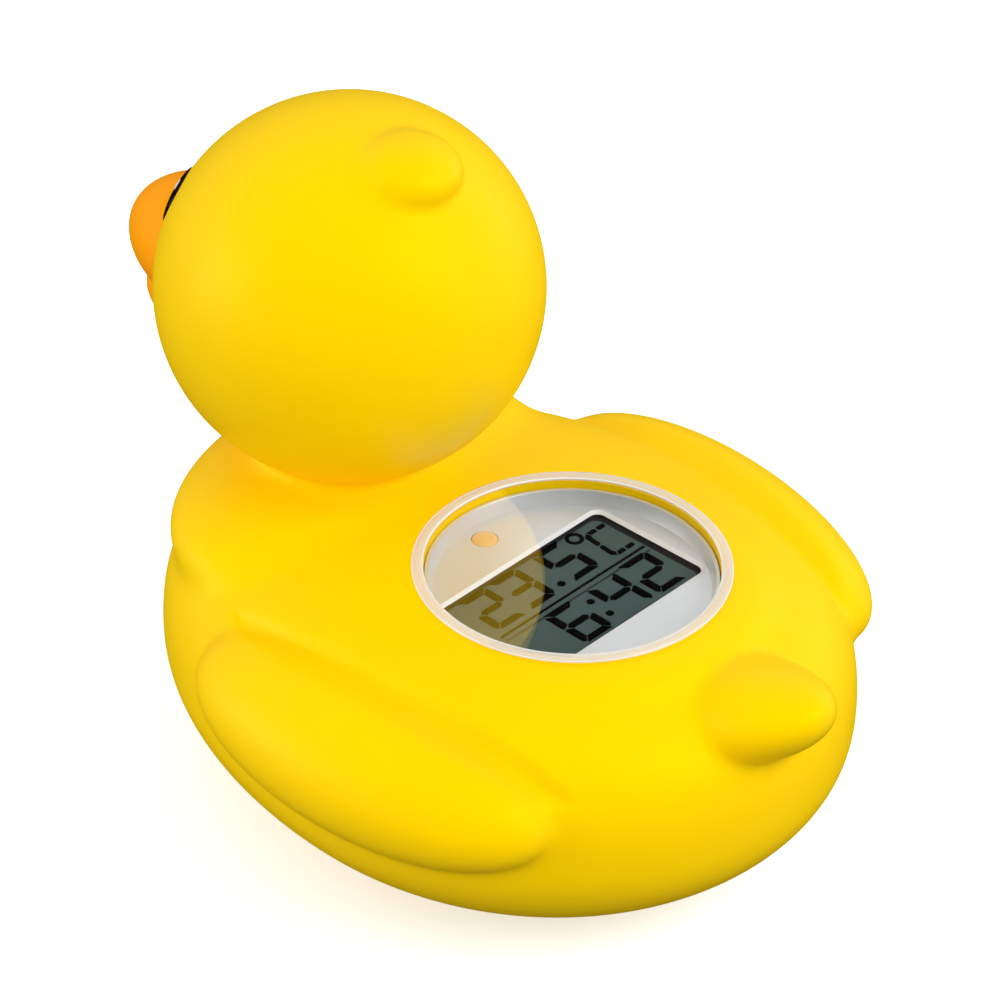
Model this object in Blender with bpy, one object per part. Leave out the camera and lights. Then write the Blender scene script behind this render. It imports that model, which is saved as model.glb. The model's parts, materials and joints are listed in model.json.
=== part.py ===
"""A floating duck bath thermometer with a round digital display in its back.

The duck faces -Y and stands on its flat underside at z = 0, with the origin under the middle of its length.
One object is made for each piece of the real thing. Run it with blender --background --python part.py.
"""

import math

import bmesh
import bpy
from mathutils import Euler, Matrix, Vector

MM = 0.001
GAP = 0.3 * MM               # clear space between pieces that touch on the real object
FIT = 0.2 * MM               # clear space around a small pin or plunger
REACH = 60.0 * MM            # how far a cutter runs past what it cuts

# The moulded duck: a body, a breast under the neck and a round head
WALL = 2.2 * MM              # wall of the moulded skin
BODY_HALF_WIDTH = 39.0 * MM
BODY_FRONT = 51.5 * MM       # from the body's middle to its breast
BODY_REAR = 42.5 * MM        # from the body's middle to its rump
BODY_RISE = 20.7 * MM        # from the widest level up to the back
BODY_DROP = 20.1 * MM        # from the widest level down to the keel, before the flat is cut
BODY_LEVEL = 17.6 * MM       # height of the widest level over the flat underside
BACK_SQUARENESS = 3.0        # exponent of the upper half, 2 is a plain ellipsoid
KEEL_SQUARENESS = 2.0
BEAK_EXCESS = 5.4 * MM       # half of what the beak reaches past the breast, less the tail past the rump
BREAST_RADII = (27.8 * MM, 19.9 * MM, 8.5 * MM)
BREAST_AHEAD = 29.2 * MM     # breast's middle ahead of the body's middle
BREAST_SINK = 6.3 * MM       # breast's middle under the back
HEAD_RADIUS = 24.4 * MM
HEAD_AHEAD = 30.7 * MM       # head's middle ahead of the body's middle
NECK_OVERLAP = 3.3 * MM      # how deep the head sits in the breast
NECK_BORE = 8.5 * MM         # radius of the hollow that joins head and body
SKIN_GRAIN = 1.1 * MM        # grid on which the moulded form is rounded
SKIN_FACES = 0.060           # share of the rounded form's faces that is kept

# Wings, tail and tuft, moulded with the skin
WING_RADII = (12.1 * MM, 26.3 * MM, 9.4 * MM)
WING_INSET = 7.8 * MM        # wing's middle inside the body's half width
WING_BEHIND = 3.1 * MM       # behind the body's middle
WING_RAISE = 7.9 * MM        # over the widest level
WING_TURN = (-3.3, 12.7, 3.8)
TAIL_RADII = (9.1 * MM, 16.5 * MM, 6.2 * MM)
TAIL_OVERHANG = 4.7 * MM     # tail's tip past the rump
TAIL_RAISE = 11.7 * MM       # tail's middle over the widest level
TAIL_LIFT = 22.7             # degrees
TUFT_RADII = (6.5 * MM, 7.0 * MM, 3.5 * MM)
TUFT_BEHIND = 25.5           # degrees behind the top of the head
TUFT_SINK = 0.4 * MM         # tuft's middle under the head's surface
TUFT_TILT = 13.0             # degrees that its rear end is lifted off the head

# Beak and eyes
BILL_RADII = (9.5 * MM, 15.4 * MM, 9.1 * MM)
BILL_BELOW = 9.5             # degrees under the head's middle
BILL_INSET = 2.9 * MM        # bill's middle inside the head's surface
LOWER_BILL_RADII = (7.2 * MM, 11.6 * MM, 5.2 * MM)
LOWER_BILL_BELOW = 29.0
LOWER_BILL_INSET = 0.0 * MM
BEAK_GRAIN = 0.6 * MM
BEAK_FACES = 0.06
BEAK_PEG = 3.2 * MM          # radius of the peg that holds the beak in the head
EYE_RADIUS = 3.7 * MM
EYE_ASIDE = 27.5             # degrees from straight ahead
EYE_ABOVE = 23.5             # degrees over the head's middle
EYE_CROWN = 0.35 * MM        # how far the eye stands out of the head
EYE_DEPTH = 1.2 * MM

# Display opening, all heights under the lens plane
DISPLAY_BEHIND = 6.9 * MM    # display's axis behind the body's middle
DISPLAY_SINK = 0.3 * MM      # lens plane under the top of the back
LENS_RADIUS = 19.7 * MM
LENS_RIM = 1.45 * MM         # width of the lens's raised rim
LENS_RIM_HEIGHT = 0.45 * MM
LENS_CROWN = 0.85 * MM       # middle of the lens over its plane
LENS_UNDERSIDE = 0.5 * MM
LENS_SEAL_WIDTH = 0.7 * MM
LENS_SEAL_THICK = 0.4 * MM
WELL_RADIUS = 18.2 * MM
WELL_DEPTH = 2.6 * MM        # down to the shoulder that the plate's flange meets
CHAMBER_RADIUS = 19.3 * MM   # under the shoulder
COLLAR_RADIUS = 23.4 * MM
COLLAR_DEPTH = 13.4 * MM
HEAD_CLEAR = 1.6 * MM        # height of the lens's cut under the overhanging head
DECK_RADIUS = 25.0 * MM      # flattened part of the back round the lens
DECK_RISE = 6.0 * MM
DECK_SQUARENESS = 5.0

PLATE_RIM_DEPTH = 1.25 * MM
PLATE_FLOOR_DEPTH = 3.3 * MM
PLATE_THICK = 0.6 * MM
PLATE_RIM_THICK = 0.6 * MM
WINDOW_WIDTH = 29.0 * MM
WINDOW_HEIGHT = 17.6 * MM
WINDOW_BACK = 0.2 * MM       # window's middle behind the display's axis
WINDOW_CORNER = 1.3 * MM
WINDOW_CHAMFER = 0.45 * MM
LAMP_RADIUS = 1.55 * MM
LAMP_AHEAD = 14.4 * MM

GASKET_THICK = 0.3 * MM
PANEL_MARGIN = 0.6 * MM      # liquid crystal panel past the window
PANEL_THICK = 1.8 * MM
STRIP_WIDTH = 1.8 * MM
STRIP_THICK = 1.5 * MM
BOARD_RADIUS = 17.5 * MM
BOARD_THICK = 1.6 * MM
BOARD_SCREWS = ((-8.0, -12.2), (8.0, -12.2), (0.0, 14.0))
BLOB_RADIUS = 3.6 * MM
BLOB_HEIGHT = 1.2 * MM
CRYSTAL_RADIUS = 1.0 * MM
CRYSTAL_LENGTH = 6.0 * MM
TRAY_WALL = 1.0 * MM
TRAY_FLOOR = 1.5 * MM
TRAY_FLANGE = 22.9 * MM
TRAY_WINDOW = 9.5 * MM       # radius of the tray's opening for leads and the chip
TRAY_SCREW_CIRCLE = 21.2 * MM
TRAY_SCREW_ANGLES = (90.0, 210.0, 330.0)

# Screws: head radius, head height, shank radius
SCREW_HEAD = 1.4 * MM
SCREW_HEAD_HEIGHT = 0.9 * MM
SCREW_SHANK = 0.7 * MM
TRAY_SCREW_LENGTH = 5.0 * MM
BOARD_SCREW_LENGTH = 3.6 * MM
DOOR_SCREW_LENGTH = 5.0 * MM
KEY_SCREW_LENGTH = 3.4 * MM
POST_RADIUS = 1.7 * MM

# Base with the battery bay, measured from its own middle
BASE_AHEAD = 2.0 * MM        # base's middle ahead of the body's middle
BAY_SIDE_LAND = 1.6 * MM     # between the bay's wall and the sides of the base's inner part
BASE_RIM = 1.2 * MM          # thickness of the outer rim
BASE_THICK = 3.0 * MM
BASE_STEP = 1.6 * MM         # rim past the inner part
BASE_SEAL_THICK = 0.3 * MM
SKIN_FLOOR = 4.0 * MM        # the skin's bottom around the base

CELL_RADIUS = 10.0 * MM
CELL_THICK = 3.2 * MM
BAY_LAND = 0.1 * MM          # between the bay's wall and the rear edge of the base's inner part
BAY_CLEAR = 0.6 * MM
BAY_WALL = 2.2 * MM
BAY_ROOF = 1.6 * MM
CONTACT_THICK = 0.3 * MM
CONTACT_WIDTH = 4.0 * MM
CONTACT_TAB = 3.2 * MM       # tab over the bay's roof
DOOR_LAP = 1.1 * MM          # door past the bay
DOOR_RECESS = 0.2 * MM
DOOR_THICK = 1.5 * MM
DOOR_EAR = 2.2 * MM
DOOR_EAR_OUT = 1.8 * MM      # ears' middles past the door's edge
DOOR_EAR_ANGLES = (-30.0, 210.0)
DOOR_SEAL_WIDTH = 0.9 * MM
DOOR_SEAL_THICK = 0.6 * MM

PROBE_RADIUS = 2.7 * MM
PROBE_WALL = 0.4 * MM
PROBE_HEIGHT = 5.0 * MM
PROBE_FLANGE = 0.9 * MM
PROBE_LAND = 0.5 * MM        # between the probe's flange and the front edge of the base's inner part
SENSOR_RADIUS = 0.9 * MM
SENSOR_LENGTH = 2.4 * MM

BUTTON_RADIUS = 2.0 * MM
BUTTON_ASIDE = 7.6 * MM
PROBE_PAST_BUTTONS = 2.9 * MM
BUTTON_TRAVEL = 0.5 * MM
BUTTON_RECESS = 0.6 * MM
BUTTON_FLANGE = 0.8 * MM
BUTTON_STEM = 1.2 * MM       # stem over the flange
SWITCH_SIZE = 4.5 * MM
SWITCH_HEIGHT = 1.9 * MM
PLUNGER_RADIUS = 1.0 * MM
PLUNGER_HEIGHT = 0.5 * MM
KEY_BOARD_SIZE = (22.0 * MM, 6.4 * MM, 1.0 * MM)
KEY_POST_ASIDE = 3.1 * MM
KEY_POST_BEHIND = 1.7 * MM   # screw posts behind the buttons' middles
KEY_POST_RADIUS = 1.5 * MM
LEAD_RADIUS = 0.45 * MM
LEAD_RISE = 3.0 * MM         # leads over the key board before they lean
LEAD_DROP = 2.0 * MM         # leads under the tray before they climb

# Places worked out from the sizes
BODY_Y = (BODY_FRONT - BODY_REAR) / 2 + BEAK_EXCESS
BODY_TOP = BODY_LEVEL + BODY_RISE
BREAST = Vector((0, BODY_Y - BREAST_AHEAD, BODY_TOP - BREAST_SINK))
HEAD = Vector((0, BODY_Y - HEAD_AHEAD, BREAST.z + BREAST_RADII[2] + HEAD_RADIUS - NECK_OVERLAP))
LENS_PLANE = BODY_TOP - DISPLAY_SINK
DISPLAY = Vector((0, BODY_Y + DISPLAY_BEHIND, LENS_PLANE))
BASE_Y = BODY_Y - BASE_AHEAD

# The base is as large as the battery bay, the row of buttons and the probe ask for
BAY_OUTER = CELL_RADIUS + BAY_CLEAR + BAY_WALL
DOOR_RADIUS = CELL_RADIUS + BAY_CLEAR + DOOR_LAP
DOOR_EAR_REACH = DOOR_RADIUS + DOOR_EAR_OUT
BUTTON_ROW = BAY_OUTER + GAP + KEY_BOARD_SIZE[1] / 2
PROBE_ROW = BUTTON_ROW + PROBE_PAST_BUTTONS
BASE_FRONT = PROBE_ROW + PROBE_RADIUS + PROBE_FLANGE + PROBE_LAND + BASE_STEP
BASE_REAR = BAY_OUTER + BAY_LAND + BASE_STEP
BASE_HALF_LENGTH = (BASE_FRONT + BASE_REAR) / 2
BASE_HALF_WIDTH = BAY_OUTER + BAY_SIDE_LAND + BASE_STEP
BAY_Y = BASE_Y + BASE_HALF_LENGTH - BASE_REAR
BUTTON_Y = BAY_Y - BUTTON_ROW
PROBE_Y = BAY_Y - PROBE_ROW
KEY_POST_Y = BUTTON_Y + KEY_POST_BEHIND

# Heights of the display's stack, from the lens plane down
LEDGE = LENS_PLANE - LENS_UNDERSIDE - GAP
SEAL_FLOOR = LEDGE - LENS_SEAL_THICK - GAP
PLATE_FLOOR = LENS_PLANE - PLATE_FLOOR_DEPTH
PLATE_UNDER = PLATE_FLOOR - PLATE_THICK
GASKET_TOP = PLATE_UNDER - GAP
PANEL_TOP = GASKET_TOP - GASKET_THICK - GAP
STRIP_TOP = PANEL_TOP - PANEL_THICK - GAP
BOARD_TOP = STRIP_TOP - STRIP_THICK - GAP
BOARD_UNDER = BOARD_TOP - BOARD_THICK
COLLAR_END = LENS_PLANE - COLLAR_DEPTH
TRAY_TOP = COLLAR_END - GAP
TRAY_END = TRAY_TOP - TRAY_FLOOR

# Heights of the base's stack, from the floor up
DOOR_TOP = DOOR_RECESS + DOOR_THICK
DOOR_SEAT = DOOR_TOP + GAP + DOOR_SEAL_THICK + GAP
CELL_BOTTOM = DOOR_SEAT + BAY_CLEAR
CONTACT_Z = CELL_BOTTOM + CELL_THICK + GAP
BAY_TOP = CONTACT_Z + CONTACT_THICK + GAP
BUTTON_FLANGE_Z = BASE_THICK + GAP
BUTTON_TOP = BUTTON_FLANGE_Z + BUTTON_FLANGE + BUTTON_STEM
SWITCH_BOTTOM = BUTTON_TOP + BUTTON_TRAVEL + GAP
KEY_BOARD_Z = SWITCH_BOTTOM + PLUNGER_HEIGHT + SWITCH_HEIGHT + GAP


# Materials

def material(name, colour, roughness, metallic=0.0, alpha=1.0):
    mat = bpy.data.materials.new(name)
    mat.use_nodes = True
    shader = mat.node_tree.nodes["Principled BSDF"]
    shader.inputs["Base Color"].default_value = (*colour, 1.0)
    shader.inputs["Roughness"].default_value = roughness
    shader.inputs["Metallic"].default_value = metallic
    shader.inputs["Alpha"].default_value = alpha
    mat.diffuse_color = (*colour, alpha)
    return mat


FINISHES = {
    "skin": ((0.98, 0.68, 0.005), 0.45),
    "beak": ((1.0, 0.30, 0.005), 0.4),
    "eye": ((0.02, 0.01, 0.008), 0.2),
    "clear": ((0.95, 0.96, 0.97), 0.03, 0.0, 0.3),
    "plate": ((0.60, 0.60, 0.66), 0.4),
    "foam": ((0.02, 0.02, 0.02), 0.9),
    "seal": ((0.82, 0.80, 0.78), 0.6),
    "panel": ((0.055, 0.09, 0.09), 0.15),
    "lamp": ((0.95, 0.55, 0.12), 0.2),
    "strip": ((0.75, 0.35, 0.35), 0.7),
    "board": ((0.02, 0.22, 0.07), 0.5),
    "blob": ((0.01, 0.01, 0.012), 0.35),
    "white_plastic": ((0.8, 0.8, 0.78), 0.5),
    "steel": ((0.62, 0.62, 0.63), 0.25, 1.0),
    "brass": ((0.72, 0.55, 0.25), 0.35, 1.0),
    "silicone": ((0.9, 0.42, 0.03), 0.6),
    "red_lead": ((0.6, 0.02, 0.02), 0.5),
    "black_lead": ((0.015, 0.015, 0.015), 0.5),
    "white_lead": ((0.75, 0.75, 0.72), 0.5),
}


# Shape tools

def place(name, mesh, finish=None, location=(0, 0, 0), rotation=(0, 0, 0)):
    """Links a mesh as an object. Without a finish it is a guide that other shapes use."""
    obj = bpy.data.objects.new(name, mesh)
    bpy.context.scene.collection.objects.link(obj)
    obj.location = location
    obj.rotation_euler = Euler([math.radians(a) for a in rotation])
    if finish is None:
        obj.hide_render = True
        obj.display_type = "WIRE"
    else:
        obj.data.materials.append(MATERIALS[finish])
    return obj


def mesh_of(name, verts, faces, smooth_angle=35.0):
    mesh = bpy.data.meshes.new(name)
    mesh.from_pydata(verts, [], faces)
    bm = bmesh.new()
    bm.from_mesh(mesh)
    bmesh.ops.recalc_face_normals(bm, faces=bm.faces)
    bm.to_mesh(mesh)
    bm.free()
    mesh.shade_smooth()
    mesh.set_sharp_from_angle(angle=math.radians(smooth_angle))
    return mesh


def turned(name, profile, segments=32):
    """A solid turned about Z. The profile's (radius, z) points run once round its section."""
    verts, rings = [], []
    for radius, z in profile:
        if radius < 1e-9:
            rings.append([len(verts)] * segments)
            verts.append((0, 0, z))
            continue
        rings.append(list(range(len(verts), len(verts) + segments)))
        for i in range(segments):
            a = 2 * math.pi * i / segments
            verts.append((radius * math.cos(a), radius * math.sin(a), z))
    faces = []
    closed = profile[0][0] > 1e-9
    pairs = list(zip(rings, rings[1:] + rings[:1])) if closed else list(zip(rings, rings[1:]))
    for low, high in pairs:
        for i in range(segments):
            j = (i + 1) % segments
            corners = []
            for v in (low[i], low[j], high[j], high[i]):
                if v not in corners:
                    corners.append(v)
            if len(corners) > 2:
                faces.append(corners)
    return mesh_of(name, verts, faces)


def disc(radius, low, high):
    """Section of a plain disc, for turned()."""
    return [(0, low), (radius, low), (radius, high), (0, high)]


def ring(inner, outer, low, high):
    """Section of a plain ring, for turned()."""
    return [(inner, low), (outer, low), (outer, high), (inner, high)]


def prism(name, outline, low, high):
    """A flat plate with the given outline."""
    count = len(outline)
    verts = [(x, y, low) for x, y in outline] + [(x, y, high) for x, y in outline]
    faces = [tuple(reversed(range(count))), tuple(range(count, 2 * count))]
    faces += [(i, (i + 1) % count, (i + 1) % count + count, i + count) for i in range(count)]
    return mesh_of(name, verts, faces)


def oval(half_width, half_length, segments=40):
    steps = [2 * math.pi * i / segments for i in range(segments)]
    return [(half_width * math.cos(a), half_length * math.sin(a)) for a in steps]


def rounded(width, height, corner, steps=4):
    """Outline of a rectangle with rounded corners."""
    points = []
    for quarter, (sx, sy) in enumerate(((1, 1), (-1, 1), (-1, -1), (1, -1))):
        cx, cy = sx * (width / 2 - corner), sy * (height / 2 - corner)
        for k in range(steps + 1):
            a = math.pi / 2 * (quarter + k / steps)
            points.append((cx + corner * math.cos(a), cy + corner * math.sin(a)))
    return points


def block(name, size, low_z):
    x, y = size[0] / 2, size[1] / 2
    return prism(name, [(-x, -y), (x, -y), (x, y), (-x, y)], low_z, low_z + size[2])


def swollen(name, width, front, rear, rise, drop, back_power=2.0, keel_power=2.0, segments=48, rings=24):
    """An egg-like form: its front, rear, upper and lower reach may differ, and its halves may be squarer."""
    verts, faces = [(0, 0, -drop)], []
    for r in range(1, rings):
        angle = math.pi * (r / rings - 0.5)
        c, s = math.cos(angle), math.sin(angle)
        power = back_power if s > 0 else keel_power
        k = (abs(c) ** power + abs(s) ** power) ** (-1 / power)
        for i in range(segments):
            a = 2 * math.pi * i / segments
            reach = rear if math.sin(a) > 0 else front
            z = (rise if s > 0 else drop) * s * k
            verts.append((width * math.cos(a) * c * k, reach * math.sin(a) * c * k, z))
    verts.append((0, 0, rise))
    for i in range(segments):
        j = (i + 1) % segments
        faces.append((0, 1 + j, 1 + i))
        for r in range(rings - 2):
            low, high = 1 + r * segments, 1 + (r + 1) * segments
            faces.append((low + i, low + j, high + j, high + i))
        last = 1 + (rings - 2) * segments
        faces.append((last + i, last + j, len(verts) - 1))
    return mesh_of(name, verts, faces, 180.0)


def ellipsoid(name, radii, segments=48, rings=24):
    x, y, z = radii
    return swollen(name, x, y, y, z, z, segments=segments, rings=rings)


def combine(target, other, operation):
    mod = target.modifiers.new(operation.title() + " " + other.name, "BOOLEAN")
    mod.operation = operation
    mod.object = other
    mod.solver = "EXACT"


def join(target, *others):
    for other in others:
        combine(target, other, "UNION")


def cut(target, *others):
    for other in others:
        combine(target, other, "DIFFERENCE")


def soften(target, grain, passes):
    """Rounds the creases where the joined forms meet."""
    remesh = target.modifiers.new("Grain", "REMESH")
    remesh.mode = "VOXEL"
    remesh.voxel_size = grain
    remesh.use_smooth_shade = True
    smooth = target.modifiers.new("Soften", "SMOOTH")
    smooth.factor = 0.5
    smooth.iterations = passes


def thin_out(target, share):
    mod = target.modifiers.new("Fewer faces", "DECIMATE")
    mod.ratio = share


def tube(name, points, radius, finish):
    """A lead along a smooth line through a few points."""
    curve = bpy.data.curves.new(name, "CURVE")
    curve.dimensions = "3D"
    curve.bevel_depth = radius
    curve.bevel_resolution = 1
    curve.use_fill_caps = True
    line = smooth_line([Vector(p) for p in points])
    spline = curve.splines.new("POLY")
    spline.points.add(len(line) - 1)
    for point, co in zip(spline.points, line):
        point.co = (*co, 1.0)
    curve.materials.append(MATERIALS[finish])
    obj = bpy.data.objects.new(name, curve)
    bpy.context.scene.collection.objects.link(obj)
    return obj


def smooth_line(points, steps=3):
    """Points along a Catmull-Rom curve."""
    ends = [2 * points[0] - points[1]] + points + [2 * points[-1] - points[-2]]
    line = []
    for a, b, c, d in zip(ends, ends[1:], ends[2:], ends[3:]):
        for k in range(steps):
            t = k / steps
            line.append(0.5 * (2 * b + (c - a) * t + (2 * a - 5 * b + 4 * c - d) * t ** 2
                               + (3 * b - a - 3 * c + d) * t ** 3))
    return line + [points[-1]]


def screw(name, location, length, upward=True):
    """A round-headed screw whose head's inner face is at location."""
    way = 1 if upward else -1
    profile = [(0, -SCREW_HEAD_HEIGHT), (SCREW_HEAD * 0.6, -SCREW_HEAD_HEIGHT),
               (SCREW_HEAD, -SCREW_HEAD_HEIGHT * 0.5), (SCREW_HEAD, 0), (SCREW_SHANK, 0),
               (SCREW_SHANK, length - SCREW_SHANK), (0, length)]
    mesh = turned(name, [(r, way * z) for r, z in profile], 10)
    return place(name, mesh, "steel", location)


def drill(name, location, radius, low, high, segments=20):
    """A guide that bores a round hole between two heights."""
    mesh = turned(name, disc(radius, low, high), segments)
    return place(name, mesh, None, (location[0], location[1], 0))


def polar(radius, degrees):
    return radius * math.cos(math.radians(degrees)), radius * math.sin(math.radians(degrees))


# The duck's skin

def head_point(degrees_below, inset):
    """A point ahead of the head's middle, under its surface."""
    a = math.radians(degrees_below)
    return HEAD + Vector((0, -math.cos(a), -math.sin(a))) * (HEAD_RADIUS - inset)


def bill_turn():
    """Direction of the upper bill from the head's middle."""
    return (head_point(BILL_BELOW, 0) - HEAD).normalized()


def eye_turn(side):
    """Direction of an eye from the head's middle."""
    aside, above = math.radians(EYE_ASIDE), math.radians(EYE_ABOVE)
    return Vector((side * math.sin(aside) * math.cos(above), -math.cos(aside) * math.cos(above),
                   math.sin(above)))


def stand_on_head(obj, direction, height):
    """Stands an object on the head, its own Z pointing outwards."""
    obj.location = HEAD + direction * height
    obj.rotation_euler = direction.to_track_quat("Z", "Y").to_euler()


def tuft_guide():
    """The short lock on the crown, swept straight back with its rear end lifted."""
    a = math.radians(TUFT_BEHIND)
    middle = HEAD + Vector((0, math.sin(a), math.cos(a))) * (HEAD_RADIUS - TUFT_SINK)
    return place("tuft_guide", ellipsoid("tuft_guide", TUFT_RADII, 32, 16), None, middle,
                 (TUFT_TILT - TUFT_BEHIND, 0, 0))


def cavity_guide():
    """The hollow inside the skin, clear of the display's collar and the bottom."""
    width, front, rear = BODY_HALF_WIDTH - WALL, BODY_FRONT - WALL, BODY_REAR - WALL
    hollow = place("cavity_guide", swollen("cavity_guide", width, front, rear, BODY_RISE - WALL,
                   BODY_DROP - WALL, BACK_SQUARENESS, KEEL_SQUARENESS, 28, 14),
                   None, (0, BODY_Y, BODY_LEVEL))
    head = place("head_hollow", ellipsoid("head_hollow", [HEAD_RADIUS - WALL] * 3, 24, 12), None, HEAD)
    neck = drill("neck_hollow", BREAST, NECK_BORE, BODY_LEVEL, HEAD.z, 22)
    join(hollow, neck, head)
    cut(hollow, drill("collar_guide", DISPLAY, COLLAR_RADIUS, COLLAR_END, BODY_TOP, 40),
        place("floor_guide", block("floor_guide", (2 * REACH, 3 * REACH, REACH), SKIN_FLOOR - REACH)))
    return hollow


def display_bore():
    """Everything that the display's opening takes out of the skin."""
    seat = LENS_RADIUS + GAP
    groove = seat - LENS_SEAL_WIDTH - 2 * GAP
    shoulder = LENS_PLANE - WELL_DEPTH
    profile = [(0, COLLAR_END - GAP), (CHAMBER_RADIUS, COLLAR_END - GAP), (CHAMBER_RADIUS, shoulder),
               (WELL_RADIUS, shoulder), (WELL_RADIUS, LEDGE), (groove, LEDGE), (groove, SEAL_FLOOR),
               (seat, SEAL_FLOOR), (seat, LENS_PLANE + HEAD_CLEAR), (0, LENS_PLANE + HEAD_CLEAR)]
    return place("display_bore", turned("display_bore", profile, 48), None, (DISPLAY.x, DISPLAY.y, 0))


def base_bore():
    """The stepped oval opening that takes the base."""
    outer = oval(BASE_HALF_WIDTH + GAP, BASE_HALF_LENGTH + GAP)
    inner = oval(BASE_HALF_WIDTH - BASE_STEP + GAP, BASE_HALF_LENGTH - BASE_STEP + GAP)
    step = BASE_RIM + GAP + BASE_SEAL_THICK + GAP
    bore = place("base_bore", prism("base_bore", outer, -REACH / 2, step), None, (0, BASE_Y, 0))
    join(bore, place("base_bore_inner", prism("base_bore_inner", inner, -REACH / 3, SKIN_FLOOR + GAP),
                     None, (0, BASE_Y, 0)))
    return bore


def make_skin():
    skin = place("body_shell", swollen("body_shell", BODY_HALF_WIDTH, BODY_FRONT, BODY_REAR, BODY_RISE,
                 BODY_DROP, BACK_SQUARENESS, KEEL_SQUARENESS, 64, 32), "skin", (0, BODY_Y, BODY_LEVEL))
    join(skin, place("breast_guide", ellipsoid("breast_guide", BREAST_RADII), None, BREAST),
         place("deck_guide", swollen("deck_guide", DECK_RADIUS, DECK_RADIUS, DECK_RADIUS, DECK_RISE, DECK_RISE,
               DECK_SQUARENESS), None, (DISPLAY.x, DISPLAY.y, LENS_PLANE - DECK_RISE)),
         place("head_guide", ellipsoid("head_guide", [HEAD_RADIUS] * 3, 64, 32), None, HEAD))
    soften(skin, SKIN_GRAIN, 14)
    for side in (-1, 1):
        pitch, roll, yaw = WING_TURN
        name = "wing_guide_left" if side > 0 else "wing_guide_right"
        join(skin, place(name, ellipsoid(name, WING_RADII), None,
                         (side * (BODY_HALF_WIDTH - WING_INSET), BODY_Y + WING_BEHIND,
                          BODY_LEVEL + WING_RAISE), (pitch, side * roll, side * yaw)))
    lift = math.radians(TAIL_LIFT)
    tail_y = BODY_Y + BODY_REAR + TAIL_OVERHANG - TAIL_RADII[1] * math.cos(lift)
    join(skin, place("tail_guide", ellipsoid("tail_guide", TAIL_RADII), None,
                     (0, tail_y, BODY_LEVEL + TAIL_RAISE), (TAIL_LIFT, 0, 0)), tuft_guide())
    soften(skin, SKIN_GRAIN, 4)
    thin_out(skin, SKIN_FACES)
    cut(skin, cavity_guide(), place("flat_guide", block("flat_guide", (2 * REACH, 3 * REACH, REACH), -REACH)),
        display_bore(), base_bore())
    for index, angle in enumerate(TRAY_SCREW_ANGLES):
        x, y = polar(TRAY_SCREW_CIRCLE, angle)
        cut(skin, drill(f"collar_hole_{index + 1}", (x, DISPLAY.y + y), SCREW_SHANK + FIT,
                        COLLAR_END - GAP, COLLAR_END + TRAY_SCREW_LENGTH, 10))
    for side in (-1, 1):
        socket = place(f"eye_socket_{side}", turned("eye_socket", disc(EYE_RADIUS + GAP, 0, REACH), 28))
        stand_on_head(socket, eye_turn(side), HEAD_RADIUS - EYE_DEPTH - GAP)
        cut(skin, socket)
    peg_hole = place("peg_hole", turned("peg_hole", disc(BEAK_PEG + GAP, -2 * WALL, 2 * WALL), 20))
    stand_on_head(peg_hole, bill_turn(), HEAD_RADIUS)
    cut(skin, peg_hole)
    return skin


def make_beak():
    beak = place("beak", ellipsoid("beak", BILL_RADII, 48, 24), "beak", head_point(BILL_BELOW, BILL_INSET))
    join(beak, place("lower_bill_guide", ellipsoid("lower_bill_guide", LOWER_BILL_RADII), None,
                     head_point(LOWER_BILL_BELOW, LOWER_BILL_INSET)))
    soften(beak, BEAK_GRAIN, 3)
    thin_out(beak, BEAK_FACES)
    cut(beak, place("beak_seat", ellipsoid("beak_seat", [HEAD_RADIUS + GAP] * 3, 48, 24), None, HEAD))
    peg = place("beak_peg", turned("beak_peg", disc(BEAK_PEG, -WALL - 2 * GAP, 2 * WALL), 20))
    stand_on_head(peg, bill_turn(), HEAD_RADIUS)
    join(beak, peg)
    return beak


def make_eye(side):
    name = "eye_left" if side > 0 else "eye_right"
    drop = HEAD_RADIUS - math.sqrt(HEAD_RADIUS ** 2 - EYE_RADIUS ** 2)
    profile = [(0, -EYE_DEPTH), (EYE_RADIUS, -EYE_DEPTH)]
    for k in range(5):
        r = EYE_RADIUS * math.cos(math.pi / 2 * k / 5)
        profile.append((r, EYE_CROWN * math.sin(math.pi / 2 * k / 5) - drop * (r / EYE_RADIUS) ** 2))
    profile.append((0, EYE_CROWN))
    eye = place(name, turned(name, profile, 28), "eye")
    stand_on_head(eye, eye_turn(side), HEAD_RADIUS)
    return eye


# The display

def make_lens():
    inner = LENS_RADIUS - LENS_RIM
    top = LENS_RIM_HEIGHT
    dome = [(inner * (1 - k / 5), LENS_CROWN - (LENS_CROWN - top * 0.5) * (1 - k / 5) ** 2) for k in range(6)]
    edge = [(LENS_RADIUS - 0.1 * LENS_RIM, -LENS_UNDERSIDE), (LENS_RADIUS, -LENS_UNDERSIDE * 0.7),
            (LENS_RADIUS, top * 0.3), (LENS_RADIUS - 0.2 * LENS_RIM, top * 0.8), (LENS_RADIUS - 0.5 * LENS_RIM, top),
            (LENS_RADIUS - 0.8 * LENS_RIM, top * 0.9)]
    mesh = turned("lens", [(0, -LENS_UNDERSIDE)] + edge + dome, 40)
    return place("lens", mesh, "clear", DISPLAY)


def make_lens_seal():
    inner = LENS_RADIUS - LENS_SEAL_WIDTH
    mesh = turned("lens_seal", ring(inner, LENS_RADIUS, LEDGE - LENS_SEAL_THICK, LEDGE), 40)
    return place("lens_seal", mesh, "seal", (DISPLAY.x, DISPLAY.y, 0))


def window_outline(grow=0.0):
    return rounded(WINDOW_WIDTH + 2 * grow, WINDOW_HEIGHT + 2 * grow, WINDOW_CORNER + grow)


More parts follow.
